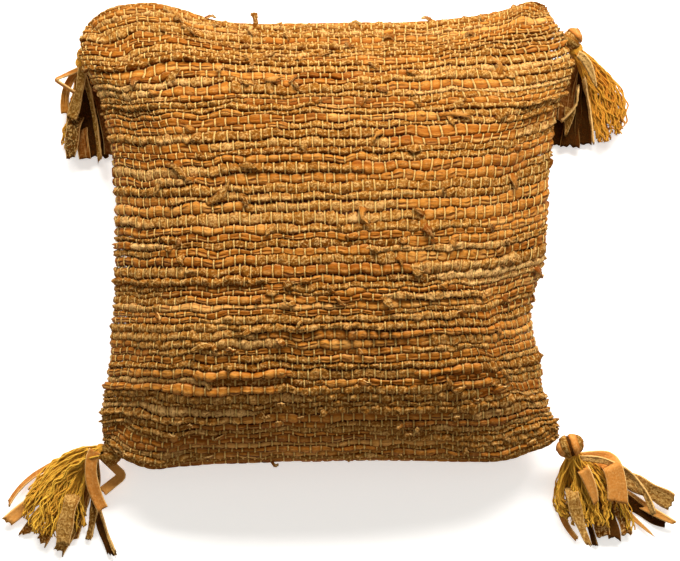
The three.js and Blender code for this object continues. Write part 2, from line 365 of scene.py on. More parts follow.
def smooth_leather(name, stops, edge, creased):
    """edge is the colour where it was cut, and creased says how deep its folds go."""
    finish = Finish(name)
    mix, shade, noise = finish.mix, finish.shade, finish.noise
    place, across = finish.place(), strip_share(finish)
    cloudy, fine = noise(place, 55, 4, 0.6), noise(place, 420, 3, 0.6)
    dyed = finish.mark("tone") + 0.4 * (cloudy - 0.5)
    dye = finish.node("ValToRGB", {"stops": stops}, {"Fac": dyed})
    worn = mix(shade(fine * finish.mark("crest"), 0.4, 0.7) * 0.35, dye, WORN)
    cells = {"Vector": place, "Scale": 300}
    pores = finish.node("TexVoronoi", {"feature": "DISTANCE_TO_EDGE"}, cells)
    creases = noise(strip_place(finish, 70, 900), 1, 3, 0.65)
    # Painted shade: the colour darkens along the fine creases, where the bump sinks.
    with_crease_shade = mix((1 - shade(creases, 0.3, 0.46)) * creased, worn, PAINTED_CREASE_SHADE)
    wander = noise(strip_place(finish, 17, 0), 1, 3, 0.55)
    stretch = shade(noise(strip_place(finish, 22, 0), 1, 2, 0.5), 0.49, 0.57)
    fold_at = 0.52 + 1.3 * (wander - 0.5)
    # The fold: a painted shadow in its slit and a painted highlight on the lip below it.
    slit = 0.85 * line_along(finish, across, fold_at, 0.08) * stretch * creased
    lip_highlight = line_along(finish, across, fold_at + 0.13, 0.1) * stretch * creased
    # A pale line along the upper edge: partly the cut edge, partly a painted highlight on that
    # edge.
    upper = line_along(finish, across, 0.17 + 0.3 * (wander - 0.5), 0.07) * (1 - stretch)
    folded = mix(0.5 * lip_highlight, with_crease_shade, PAINTED_LIP_HIGHLIGHT)
    folded = mix(0.55 * upper * creased, folded, edge)
    folded = mix(slit, folded, PAINTED_FOLD_SHADOW)
    colour = with_painted_shade(finish, folded, across, creased, *GRAIN_PAINTED_SHADE)
    colour = mix(finish.mark("cut"), colour, edge)
    bumps = [(pores, 0.3 * MM), (creases, 0.3 * MM + 1.1 * MM * creased), (cloudy, 1.2 * MM)]
    bumps.append((1 - slit, 1.0 * MM))
    return finish.done(colour, 0.5 + 0.3 * fine, bumps, specular=0.08)


# %% [markdown]
# ## Suede
#
# Other strips show the rough flesh side, which looks olive and hairy. Two noises make its nap:
# long fibres that lean along the strip, and crumbs that lie any way. Where they are high a pale
# highlight is painted on them, and where they are low brown shade is painted into the pits.

# %% Mix the suede
PAINTED_PIT_SHADE = rgb(110, 56, 4)
# Painted shade of the suede: on its flanks, at its lower edge and in the gaps.
SUEDE_PAINTED_SHADE = (rgb(132, 72, 8), rgb(100, 42, 0), rgb(72, 27, 0))


def suede_leather(name, stops, edge, shaggy):
    """edge is the colour where it was cut, and shaggy says how far the fibres stand."""
    finish = Finish(name)
    mix, shade, noise = finish.mix, finish.shade, finish.noise
    place = finish.place()
    cloudy, crumb = noise(place, 70, 4, 0.6), noise(place, 450, 3, 0.75)
    hair = noise(strip_place(finish, 190, 480, 0.2), 1, 3, 0.7)
    nap = 0.3 * hair + 0.7 * crumb
    dyed = finish.mark("tone") + 0.7 * (cloudy - 0.5)
    dye = finish.node("ValToRGB", {"stops": stops}, {"Fac": dyed})
    # Painted highlight on the high nap, and painted shade in the low pits.
    with_nap_highlight = mix(shade(nap, 0.51, 0.58) * 0.8 * shaggy, dye, stops[-1][1])
    with_pit_shade = mix((1 - shade(nap, 0.42, 0.49)) * 0.8 * shaggy, with_nap_highlight, PAINTED_PIT_SHADE)
    colour = with_painted_shade(finish, with_pit_shade, strip_share(finish), shaggy, *SUEDE_PAINTED_SHADE)
    colour = mix(finish.mark("cut") * 0.8, colour, edge)
    bumps = [(cloudy, 1.4 * MM), (hair, 0.7 * MM * shaggy), (crumb, 1.2 * MM * shaggy)]
    return finish.done(colour, 0.95, bumps, specular=0.03)


# %% [markdown]
# ## Cotton, lining and floor
#
# The warp and the tassels' yarn are twisted threads: a slanted wave along a thread gives its ply,
# and a fine noise its fluff. Along the ply, shade is painted: lighter on its ridges and darker
# between them, mixed with each thread's own tone. The cloth that shows between the strips is
# painted the dark brown of the shade in the gaps. It and the pale floor need one noise each.

# %% Mix the cotton, the lining and the floor
def cotton(name, pale, deep, ply):
    """ply is the number of waves to a metre, as the wave node counts them."""
    finish = Finish(name)
    slanted = finish.node("Mapping", None, {"Vector": finish.strip(), "Rotation": (0, 0, 0.7)})
    waves = {"Vector": slanted, "Scale": ply, "Distortion": 1.5}
    twist = finish.node("TexWave", {"wave_type": "BANDS"}, waves)
    fluff = finish.noise(finish.place(), 1400, 3, 0.7)
    # Painted shade along the ply: lighter on the twist's ridges, darker between them.
    ply_painted_shade = finish.shade(twist + 0.4 * fluff, 0.1, 0.9)
    colour = finish.mix(0.35 * ply_painted_shade + 0.65 * finish.mark("tone"), deep, pale)
    return finish.done(colour, 0.88, [(twist, 0.35 * MM), (fluff, 0.3 * MM)], sheen=0.03)


def painted_shade_lining():
    finish = Finish("painted_shade_cloth")
    threads = finish.noise(finish.place(), 800, 2, 0.6)
    # Painted shade: the cloth's dark brown stands for the shade in the gaps between the strips.
    colour = finish.mix(threads, rgb(46, 14, 0), rgb(74, 28, 0))
    return finish.done(colour, 0.95, [(threads, 0.4 * MM)])


def pale_floor():
    finish = Finish("pale_floor")
    paper = finish.noise(finish.place(), 60, 3, 0.6)
    colour = finish.mix(paper, rgb(244, 243, 241), rgb(248, 247, 246))
    return finish.done(colour, 0.85, [(paper, 0.05 * MM)], glow=0.5)


# %% [markdown]
# ## The dye pots
#
# Each leather has a row of tones, from its darkest scrap to its palest. The woven strips share
# two rows, and the tassels' strips have three more: olive suede, tan leather and a dark suede.
# The tassels' leathers are cut from better pieces, so they are less creased and less shaggy.

# %% Dye the leathers and the yarns
WOVEN_GRAIN = [
    (0.0, rgb(106, 54, 4)),
    (0.3, rgb(140, 80, 14)),
    (0.55, rgb(166, 101, 27)),
    (0.8, rgb(185, 121, 44)),
    (1.0, rgb(210, 153, 80)),
]
WOVEN_SUEDE = [
    (0.0, rgb(106, 61, 11)),
    (0.35, rgb(138, 89, 28)),
    (0.65, rgb(162, 113, 48)),
    (1.0, rgb(216, 171, 106)),
]
KHAKI_SCRAP = [(0.0, rgb(60, 38, 10)), (0.5, rgb(132, 94, 38)), (1.0, rgb(206, 162, 94))]
TAN_SCRAP = [(0.0, rgb(136, 74, 18)), (0.5, rgb(176, 110, 42)), (1.0, rgb(208, 146, 72))]
DARK_SCRAP = [(0.0, rgb(34, 16, 3)), (0.5, rgb(58, 32, 8)), (1.0, rgb(104, 64, 22))]
CUT_EDGE = rgb(214, 170, 104)
DARK_CUT_EDGE = rgb(150, 112, 58)
GRAIN = smooth_leather("grain_leather", WOVEN_GRAIN, CUT_EDGE, 1.0)
TAN = smooth_leather("tan_leather", TAN_SCRAP, CUT_EDGE, 0.1)
SUEDE = suede_leather("suede_leather", WOVEN_SUEDE, CUT_EDGE, 1.0)
KHAKI = suede_leather("khaki_suede", KHAKI_SCRAP, CUT_EDGE, 0.8)
DARK_SUEDE = suede_leather("dark_suede", DARK_SCRAP, DARK_CUT_EDGE, 0.4)
WARP_COTTON = cotton("warp_cotton", rgb(255, 216, 130), rgb(230, 166, 76), 900)
TASSEL_YARN = cotton("tassel_yarn", rgb(255, 202, 68), rgb(208, 104, 0), 700)
PAINTED_SHADE_CLOTH = painted_shade_lining()
floor_mesh.materials.append(pale_floor())
print("finishes:", len(bpy.data.materials))

# %% [markdown]
# ## The seam
#
# Seen from above, the seam is drawn in between its corners, and most of all on the right. Each of
# its four sides is a short list of points in millimetres, from left to right or from top to
# bottom, and a smooth line runs through them.

# %% Draw the seam
SEAM = {
    "top": [
        (-235, 210), (-227, 217), (-216, 223), (-200, 227), (-171, 228), (-144, 222), (-113, 212),
        (-66, 208), (6, 209), (74, 210), (114, 213), (155, 219), (180, 226), (196, 231), (209, 228),
    ],
    "right": [
        (209, 228), (217, 214), (225, 200), (231, 183), (234, 165), (228, 146), (219, 128),
        (214, 99), (211, 70), (209, 23), (205, -23), (197, -47), (193, -70), (197, -93),
        (203, -122), (206, -147), (211, -164), (219, -177), (222, -192),
    ],
    "bottom": [
        (-219, -197), (-210, -206), (-195, -214), (-172, -221), (-144, -218), (-97, -215),
        (6, -212), (87, -212), (146, -214), (173, -212), (194, -205), (210, -200), (222, -192),
    ],
    "left": [
        (-235, 210), (-241, 199), (-242, 185), (-239, 169), (-230, 155), (-222, 139),
        (-217, 120), (-212, 97), (-208, 62), (-206, 19), (-207, -44), (-210, -87), (-214, -132),
        (-219, -157), (-221, -179), (-219, -197),
    ],
}
CURVE_STEPS = 24


def seam_line(points):
    """A smooth line through the points, with the share of its length at each of its steps."""
    knots = np.array(points) * MM
    knots = np.vstack([2 * knots[0] - knots[1], knots, 2 * knots[-1] - knots[-2]])
    before, start, end, after = knots[:-3], knots[1:-2], knots[2:-1], knots[3:]
    t = np.linspace(0, 1, CURVE_STEPS, endpoint=False)[:, None, None]
    third = 3 * (start - end) + after - before
    second = 2 * before - 5 * start + 4 * end - after
    line = start + t / 2 * (end - before + t * (second + t * third))
    line = np.vstack([line.transpose(1, 0, 2).reshape(-1, 2), knots[-2]])
    gone = np.concatenate([[0], np.cumsum(np.linalg.norm(np.diff(line, axis=0), axis=1))])
    return gone / gone[-1], line


SEAM_LINES = {side: seam_line(points) for side, points in SEAM.items()}


def on_seam(side, share):
    reached, line = SEAM_LINES[side]
    return np.stack([np.interp(share, reached, line[:, i]) for i in (0, 1)], axis=-1)


print("the top seam is", round(np.ptp(SEAM_LINES["top"][1][:, 0]) / MM), "mm wide")

# %% [markdown]
# ## The shape under the weave
#
# Both faces are one formula of u, across the face, and v, up the face, each from -1 to 1, so every
# strip and thread can be placed by the same two numbers. In the flat, the seam's pull fades
# towards the middle. Seen from the side, the filling lifts the middle of each face and leaves the
# seam sharp, the corners droop, and the back is flat where it rests.

# %% Raise the two faces
CROWN_ABOVE_SEAM = 78 * MM
CROWN_BELOW_SEAM = 76 * MM
SEAM_HEIGHT_AT_SIDES = 56 * MM
SEAM_HEIGHT_AT_CORNERS = 30 * MM
CORNER_DROOP_POWER = 2.2
CROWN_FLATNESS = 2.3
CROWN_SIDE_STEEPNESS = 0.56
LUMP = 4 * MM
CONTACT_ROUNDING = 7 * MM
PULL_OF_SEAM = (2, 5)
FRONT, BACK = 1, -1


def straight_sheet(u, v):
    """The corners of the face joined by straight lines."""
    top, bottom = SEAM_LINES["top"][1], SEAM_LINES["bottom"][1]
    across, up = ((u + 1) / 2)[..., None], ((v + 1) / 2)[..., None]
    above = top[0] * (1 - across) + top[-1] * across
    below = bottom[0] * (1 - across) + bottom[-1] * across
    return below * (1 - up) + above * up


def face(u, v, side):
    """Points of the front or the back: flat in the middle sheet, then lifted by the filling."""
    reach = np.maximum(np.maximum(np.abs(u), np.abs(v)), 1e-6)
    rim_u, rim_v = u / reach, v / reach
    down, across = (1 - rim_v) / 2, (1 + rim_u) / 2
    at_side = (np.abs(u) > np.abs(v))[..., None]
    sides = np.where((u > 0)[..., None], on_seam("right", down), on_seam("left", down))
    ends = np.where((v > 0)[..., None], on_seam("top", across), on_seam("bottom", across))
    drawn = np.where(at_side, sides, ends) - straight_sheet(rim_u, rim_v)
    flat = straight_sheet(u, v) + drawn * reach[..., None] ** PULL_OF_SEAM
    droop = np.abs(u * v) ** CORNER_DROOP_POWER
    height = SEAM_HEIGHT_AT_SIDES * (1 - droop) + SEAM_HEIGHT_AT_CORNERS * droop
    fullness = (1 - np.abs(u) ** CROWN_FLATNESS) * (1 - np.abs(v) ** CROWN_FLATNESS)
    rise = np.maximum(fullness, 0) ** CROWN_SIDE_STEEPNESS
    if side == FRONT:
        # Two waves of odd lengths, so that the filling's lumps don't repeat.
        lumps = np.sin(2.6 * u + 0.5) * np.sin(3.1 * v + 1.1)
        lumps = lumps + 0.6 * np.sin(5.3 * u - 2.2 * v) * np.cos(4.7 * v)
        height = height + rise * (CROWN_ABOVE_SEAM + LUMP * lumps)
    else:
        height = height - rise * CROWN_BELOW_SEAM
        near = (np.maximum(height + CONTACT_ROUNDING, 0)) ** 2 / (4 * CONTACT_ROUNDING)
        height = np.where(height < CONTACT_ROUNDING, near, height)
    return np.concatenate([flat, height[..., None]], axis=-1)


top_point = face(np.zeros(1), np.zeros(1), FRONT)[0]
print(f"the middle of the face stands {top_point[2] / MM:.0f} mm high")

# %% [markdown]
# ## Upright and evenly spaced
#
# Two things are asked of a face again and again. One is which way it looks at a point, because
# thickness is laid on in that direction. The other is which u and v lie at equal lengths along
# the bulging cloth, because threads and rows are spaced evenly on the cloth and not in u and v.

# %% Measure along the faces
NUDGE = 0.006


def looking(u, v, side):
    """Which way the face looks, as arrows of length 1."""
    u, v = np.clip(u, NUDGE - 1, 1 - NUDGE), np.clip(v, NUDGE - 1, 1 - NUDGE)
    along_u = face(u + NUDGE, v, side) - face(u - NUDGE, v, side)
    along_v = face(u, v + NUDGE, side) - face(u, v - NUDGE, side)
    arrows = np.cross(along_u, along_v) * side
    return arrows / np.linalg.norm(arrows, axis=-1, keepdims=True)


def by_length(points, places):
    """The places of equal steps along a line of points."""
    gone = np.concatenate([[0], np.cumsum(np.linalg.norm(np.diff(points, axis=0), axis=1))])
    return np.interp(np.linspace(0, 1, len(places)), gone / gone[-1], places)


EVEN = np.linspace(-1, 1, 401)
SPREAD_U = by_length(face(EVEN, 0 * EVEN, FRONT), EVEN)
SPREAD_V = by_length(face(0 * EVEN, EVEN, FRONT), EVEN)
print(f"a quarter of the cloth's width lies at u = {SPREAD_U[100]:.2f}")

# %% [markdown]
# ## The filled body
#
# Under the weave lies the stuffed body. It starts a little small, as two grids that are laid on
# the two faces and joined at the seam. A voxel remesh then gives it even squares, which a
# simulation needs.

# %% Shape the body
BODY_SHARE = 0.972
BODY_MIDDLE = np.array([0, 0, SEAM_HEIGHT_AT_SIDES])
BODY_VOXEL = 9 * MM
FACE_STEPS = 72


def body_shell():
    bm = bmesh.new()
    for side in (FRONT, BACK):
        made = bmesh.ops.create_grid(bm, x_segments=FACE_STEPS, y_segments=FACE_STEPS, size=1)
        flat = np.array([vert.co for vert in made["verts"]])
        u, v = np.interp(flat[:, :2].T, EVEN, SPREAD_U)
        places = face(side * u, v, side)
        places = BODY_MIDDLE + (places - BODY_MIDDLE) * BODY_SHARE
        for vert, place in zip(made["verts"], places):
            vert.co = place
    bmesh.ops.remove_doubles(bm, verts=bm.verts, dist=0.1 * MM)
    bmesh.ops.recalc_face_normals(bm, faces=bm.faces)
    mesh = bpy.data.meshes.new("padding")
    bm.to_mesh(mesh)
    bm.free()
    return mesh


def applied(piece):
    """Replaces a piece's mesh by what its modifiers make of it."""
    shown = piece.evaluated_get(bpy.context.evaluated_depsgraph_get())
    mesh = bpy.data.meshes.new_from_object(shown)
    piece.modifiers.clear()
    piece.data = mesh
    return mesh


padding = link("padding", body_shell())
remesh = padding.modifiers.new("even", "REMESH")
remesh.mode = "VOXEL"
remesh.voxel_size = BODY_VOXEL
remesh.use_smooth_shade = True
applied(padding)
print("squares of the body:", len(padding.data.polygons))

# %% [markdown]
# ## Air in the body
#
# Blender's cloth simulation blows the body up with air pressure for twenty frames. Real stuffing
# is held by its cover, so no point may move further than the cover would let it, and none sinks
# to the floor, where the back's own strips lie.

# %% Blow up the body
BODY_PRESSURE = 4
FRAMES = 20
MOST_MOVED = 6 * MM
BODY_ABOVE_FLOOR = 4.5 * MM


def coordinates(mesh):
    found = np.empty(len(mesh.vertices) * 3, np.float32)
    mesh.vertices.foreach_get("co", found)
    return found.reshape(-1, 3).astype(float)


def set_coordinates(mesh, places):
    mesh.vertices.foreach_set("co", places.astype(np.float32).ravel())
    mesh.update()


start = coordinates(padding.data)
cloth = padding.modifiers.new("air", "CLOTH")
cloth.settings.use_pressure = True
cloth.settings.uniform_pressure_force = BODY_PRESSURE
cloth.settings.effector_weights.gravity = 0
cloth.point_cache.frame_start = 1
cloth.point_cache.frame_end = FRAMES
for number in range(1, FRAMES + 1):
    bpy.context.scene.frame_set(number)
swollen = padding.evaluated_get(bpy.context.evaluated_depsgraph_get())
moved = coordinates(swollen.data) - start
length = np.linalg.norm(moved, axis=1, keepdims=True)
capped = moved * np.minimum(1, MOST_MOVED / np.maximum(length, 1e-9))
padding.modifiers.clear()
bpy.context.scene.frame_set(1)
set_coordinates(padding.data, start + capped)
print(f"the body swells by {np.linalg.norm(capped, axis=1).mean() / MM:.1f} mm")

settled = coordinates(padding.data)
settled[:, 2] = np.maximum(settled[:, 2], BODY_ABOVE_FLOOR)
set_coordinates(padding.data, settled)
padding.data.materials.clear()
# The body takes the dark cloth whose colour is the painted shade of the gaps.
padding.data.materials.append(PAINTED_SHADE_CLOTH)
smoother = padding.modifiers.new("smoother", "SUBSURF")
smoother.levels = 1
smoother.render_levels = 1
print("faces of the body:", len(padding.data.polygons))

# %% [markdown]
# ## How far the body stands from the formula
#
# A ray from just outside each face hits the swollen body. How far it went is kept on a grid of u
# and v. `wrap` reads that grid, so that the weave lies on the real body and not on the formula.
# It is the one function that brings every strip, thread and rag to its place.

# %% Measure the body
WARPS = 92
GRID = 121
RAY_START = 14 * MM
LARGEST_OFFSET = 9 * MM


def measured_offsets(side):
    tree = BVHTree.FromObject(padding, bpy.context.evaluated_depsgraph_get())
    places = np.interp(np.linspace(-1, 1, GRID), EVEN, SPREAD_U)
    u, v = np.meshgrid(places, np.interp(np.linspace(-1, 1, GRID), EVEN, SPREAD_V))
    points, arrows = face(u, v, side), looking(u, v, side)
    offsets = np.zeros(u.shape)
    for row, column in np.ndindex(u.shape):
        arrow = Vector(arrows[row, column])
        ray_start = Vector(points[row, column]) + arrow * RAY_START
        hit = tree.ray_cast(ray_start, -arrow, 2 * RAY_START)
        offsets[row, column] = RAY_START - hit[3] if hit[0] else 0
    offsets = np.clip(offsets, -LARGEST_OFFSET, LARGEST_OFFSET)
    for _ in range(3):
        inner = offsets[1:-1, 1:-1]
        around = offsets[:-2, 1:-1] + offsets[2:, 1:-1] + offsets[1:-1, :-2] + offsets[1:-1, 2:]
        offsets[1:-1, 1:-1] = (inner + around / 4) / 2
    rim = (1 - np.abs(u) ** 12) * (1 - np.abs(v) ** 12)
    return offsets * rim


OFFSETS = {side: measured_offsets(side) for side in (FRONT, BACK)}
for side, offsets in OFFSETS.items():
    print(f"face {side}: offsets from {offsets.min() / MM:.1f} to {offsets.max() / MM:.1f} mm")


def wrap(place, share, height, side, lowest=0.0):
    """Lays a point of the flat weave over the cushion. place counts warp threads from the left,
    share runs from 0 at the bottom seam to 1 at the top one, height is above the body."""
    across = np.clip(2 * place / WARPS - 1, -1, 1)
    up = np.clip(2 * share - 1, -1, 1)
    u, v = side * np.interp(across, EVEN, SPREAD_U), np.interp(up, EVEN, SPREAD_V)
    step = (np.stack([up, side * across]) + 1) / 2 * (GRID - 1.001)
    low = step.astype(int)
    part = step - low
    grid = OFFSETS[side]
    lower = grid[low[0], low[1]] * (1 - part[1]) + grid[low[0], low[1] + 1] * part[1]
    upper = grid[low[0] + 1, low[1]] * (1 - part[1]) + grid[low[0] + 1, low[1] + 1] * part[1]
    offset = lower * (1 - part[0]) + upper * part[0]
    places = face(u, v, side) + looking(u, v, side) * (offset + height)[..., None]
    places[..., 2] = np.maximum(places[..., 2], lowest)
    return places


# %% [markdown]
# ## Bars to bend
#
# Strips, threads and yarns are all long closed bars. Each starts as a cone or a cube from bmesh,
# as long as one unit, that is cut into steps. A bar of the same steps is made once and kept.

# %% Make the bars
def read_shape(bm):
    """The points of a bmesh, the corners of its faces, and how many corners each face has."""
    bm.verts.index_update()
    points = np.array([vert.co for vert in bm.verts])
    corners = np.array([vert.index for f in bm.faces for vert in f.verts])
    sizes = np.array([len(f.verts) for f in bm.faces])
    bm.free()
    return points, corners, sizes


@cache
def round_bar(steps, sides):
    """A bar with flat ends. It runs along Z from 0 to 1, and its radius is 1."""
    bm = bmesh.new()
    bmesh.ops.create_cone(bm, cap_ends=True, segments=sides, radius1=1, radius2=1, depth=1)
    bmesh.ops.translate(bm, verts=bm.verts, vec=(0, 0, 0.5))
    lengthwise = [e for e in bm.edges if abs(e.verts[0].co.z - e.verts[1].co.z) > 0.5]
    bmesh.ops.subdivide_edges(bm, edges=lengthwise, cuts=steps - 1)
    return read_shape(bm)


@cache
def flat_bar(steps, lanes):
    """A ribbon. It runs along Z from 0 to 1, X from -1 to 1 is its width and Y its thickness."""
    bm = bmesh.new()
    bmesh.ops.create_cube(bm, size=2)
    for axis, cuts in ((2, steps - 1), (0, lanes - 1)):
        chosen = [e for e in bm.edges if abs(e.verts[0].co[axis] - e.verts[1].co[axis]) > 1.5]
        bmesh.ops.subdivide_edges(bm, edges=chosen, cuts=cuts, use_grid_fill=True)
    bmesh.ops.scale(bm, verts=bm.verts, vec=(1, 1, 0.5))
    bmesh.ops.translate(bm, verts=bm.verts, vec=(0, 0, 0.5))
    return read_shape(bm)


# %% [markdown]
# ## Bundles of bars
#
# A bundle takes many bars, each bent to its place, and makes one mesh of them, because a thousand
# separate objects would be slow. With each point it keeps what the finishes read: its place on
# the strip, its tone, its crest, and where the leather was cut.

# %% Gather bars in a bundle
class Bundle:
    """Copies of bars, each bent to its place, that become one mesh."""

    def __init__(self):
        self.parts = []
        self.count = 0

    def add(self, shape, places, strip, tone, crest=1.0, rim=0.0):
        """strip gives the two UV values of each point. rim is 1 where the leather was cut."""
        _, corners, sizes = shape
        spread = [np.broadcast_to(value, len(places)) for value in (tone, crest, rim)]
        self.parts.append((corners + self.count, sizes, places, np.stack(strip, axis=-1), *spread))
        self.count += len(places)

    def make(self, name, finish, slot):
        columns = [np.concatenate(column) for column in zip(*self.parts)]
        corners, sizes, places, strip, tone, crest, rim = columns
        starts = np.concatenate([[0], np.cumsum(sizes)[:-1]])
        mesh = bpy.data.meshes.new(name)
        mesh.vertices.add(len(places))
        mesh.vertices.foreach_set("co", places.astype(np.float32).ravel())
        mesh.loops.add(len(corners))
        mesh.loops.foreach_set("vertex_index", corners.astype(np.int32))
        mesh.polygons.add(len(sizes))
        mesh.polygons.foreach_set("loop_start", starts.astype(np.int32))
        mesh.update(calc_edges=True)
        mesh.polygons.foreach_set("use_smooth", np.ones(len(sizes), bool))
        for title, values in (("tone", tone), ("crest", crest)):
            mark = mesh.attributes.new(title, "FLOAT", "POINT")
            mark.data.foreach_set("value", values.astype(np.float32))
        cut = mesh.attributes.new("cut", "FLOAT", "FACE")
        cut.data.foreach_set("value", np.minimum.reduceat(rim[corners], starts).astype(np.float32))
        layer = mesh.uv_layers.new(name="strip")
        layer.data.foreach_set("uv", strip[corners].astype(np.float32).ravel())
        mesh.materials.append(finish)
        made = link(name, mesh)
        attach(made, "root")
        print(f"{name}: {len(self.parts)} bars, {int((sizes - 2).sum())} triangles")
        return made


# %% [markdown]
# ## The rows of the weave
#
# The loom gives about ninety warp threads and sixty-eight rows of leather. No two rows are alike:
# each has its own width, which swells and shrinks along it, and its neighbours make room. Towards
# the seams the rows are narrower and calm, and on the right they climb. The borders between rows
# are kept in a table, one line for each border, from which any place in a row can be read.

# %% Plan the rows
ROWS = 68
ROW_WIDTH_SPREAD = 0.4
ROWS_AT_ENDS = 0.72
WIDTH_LIMITS = (0.3, 1.35)
BORDER_SWAY = 0.19
SHARED_SWAY = 0.05
NARROWEST = 0.36
SWAY_LENGTHS = (34, 16, 7)
RIGHT_LIFT = 0.035
draws = np.random.default_rng(5)


def scatter(number):
    wide = np.sin(number * 12.9898) * 43758.5453
    return wide - np.floor(wide)


def waves(places):
    """A smooth chance wave for each border between rows, from about -1 to 1."""
    total = np.zeros((ROWS + 1, len(places)))
    for length in SWAY_LENGTHS:
        pitch = length * draws.uniform(0.75, 1.3, (ROWS + 1, 1))
        total += np.sin(2 * np.pi * (places / pitch + draws.uniform(0, 1, (ROWS + 1, 1))))
    return total / np.sqrt(len(SWAY_LENGTHS))


def row_borders(side):
    places = np.arange(2 * WARPS + 1) / 2
    across = 2 * places / WARPS - 1
    calm = 1 - np.abs(across) ** 8
    base = 1 + ROW_WIDTH_SPREAD * (2 * scatter(np.arange(ROWS) + 1) - 1)
    from_middle = np.abs(np.linspace(-1, 1, ROWS))
    base = base * (1 + (ROWS_AT_ENDS - 1) * from_middle**1.5)
    straight = np.concatenate([[0], np.cumsum(base)])[:, None] / base.sum()
    bend = np.sin(0.055 * places + 9 * straight) + np.sin(0.11 * places - 17 * straight + 2)
    inner = np.sin(np.pi * straight)
    swayed_up = (BORDER_SWAY * waves(places) + SHARED_SWAY * bend * inner) * calm / ROWS
    lifted = RIGHT_LIFT * np.clip((side * across - 0.55) / 0.45, 0, 1) ** 2 * inner
    borders = straight + swayed_up + lifted
    width = np.maximum(np.diff(borders, axis=0), NARROWEST / ROWS)
    borders = np.vstack([np.zeros(len(places)), np.cumsum(width, axis=0)])
    return borders / borders[-1]


def at_place(table, row, place):
    """Reads a line of a table that has two entries for each warp thread."""
    step = np.clip(place * 2, 0, table.shape[1] - 1.001)
    low = step.astype(int)
    part = step - low
    return table[row, low] * (1 - part) + table[row, low + 1] * part


def room_in_row(side, row, place):
    """The lower and the upper border of a row at a place, and how wide it is for a row."""
    low, high = at_place(BORDERS[side], row, place), at_place(BORDERS[side], row + 1, place)
    return low, high, np.clip((high - low) * ROWS, *WIDTH_LIMITS)


BORDERS = {side: row_borders(side) for side in (FRONT, BACK)}
cloth_height = np.linalg.norm(np.diff(face(0 * EVEN, EVEN, FRONT), axis=0), axis=1).sum()
cloth_width = np.linalg.norm(np.diff(face(EVEN, 0 * EVEN, FRONT), axis=0), axis=1).sum()
ROW_PITCH = cloth_height / ROWS
WARP_PITCH = cloth_width / WARPS
print(f"rows {ROW_PITCH / MM:.1f} mm apart, warp threads {WARP_PITCH / MM:.1f} mm apart")

# %% [markdown]
# ## Pillows between the threads
#
# A strip goes over one warp thread and under the next. Where a thread holds it down it is pinched,
# and between two threads it swells like a small pillow, so its edge bulges into the pinch of the
# row beside it. A strip is a round bar whose rings crowd at the threads, and whose section is
# turned into an arch over a flat base, where it is not seen.

# %% Shape the pillows
RING_SHARES = {FRONT: (0, 0.11, 0.3, 0.5, 0.7, 0.89), BACK: (0, 0.17, 0.5, 0.83)}
WARP_SWAY = 0.13
PILLOW_FULLNESS = 2.6


def pillow_rings(row, start, end, shares):
    """The places of a strip's rings and how far it swells there: least under each thread."""
    first = np.floor(start) - (np.floor(start) + row) % 2
    threads = np.arange(first, end + 2.1, 2)
    centres = threads - WARP_SWAY * np.sin(1.7 * threads + 0.9 * row)
    phase = (np.arange(len(threads) - 1)[:, None] + shares).ravel()
    places = np.interp(phase, np.arange(len(threads)), centres)
    inside = (places > start + 0.05) & (places < end - 0.05)
    places = np.concatenate([[start], places[inside], [end]])
    phase = np.interp(places, centres, np.arange(len(threads)))
    return places, 1 - (1 - np.abs(np.sin(np.pi * phase))) ** PILLOW_FULLNESS


def arched(shape):
    """Turns a round bar's corners into an arch with a flat base: all but one lie on the arch."""
    points = shape[0]
    around = np.arctan2(points[:, 1], points[:, 0]) / (2 * np.pi) % 1
    sides = round(1 / np.min(around[around > 1e-3]))
    top = (sides - 2) / sides
    angle = np.where(around <= top + 1e-4, around / top, 1 + (around - top) / (1 - top)) * np.pi
    return angle, points[:, 2]


# %% [markdown]
# ## Strips of leather
#
# Some strips swell more than others, and a few stand proud of the face. Some are folded, which
# leaves a crease along them, and the suede ones are thick and twisted. Both ends of a strip thin
# out, so that the next one can start over it. The rows at the seams stay smooth.

# %% Lay one strip
THICK = {False: (1.7 * MM, 3.8 * MM), True: (1.9 * MM, 4.4 * MM)}
PROUD, PROUD_SHARE = 1.55, 0.14
FOLDS = {False: (0, 0.3, 0.55, 0.75), True: (0.3, 0.6)}
FOLD_WIDTH = 0.3
LUMPY, SUEDE_LUMPY = 0.09, 0.13
TWIST = 0.17
ARCH_POWER = 0.72
PINCH = 0.42
UNDER = -0.8 * MM
TIP_LENGTH = 1.1
SEAM_ROUNDING = 0.85
BACK_ABOVE_FLOOR = 0.7 * MM


def thinned_ends(place, start, end):
    """1 along a strip, and down to 0 at its ends, but for the ends that turn round a seam."""
    from_start = place - start if start > 0 else place + SEAM_ROUNDING
    to_end = end - place if end < WARPS else WARPS - place + SEAM_ROUNDING
    return np.clip(np.minimum(from_start, to_end) / TIP_LENGTH, 0, 1)


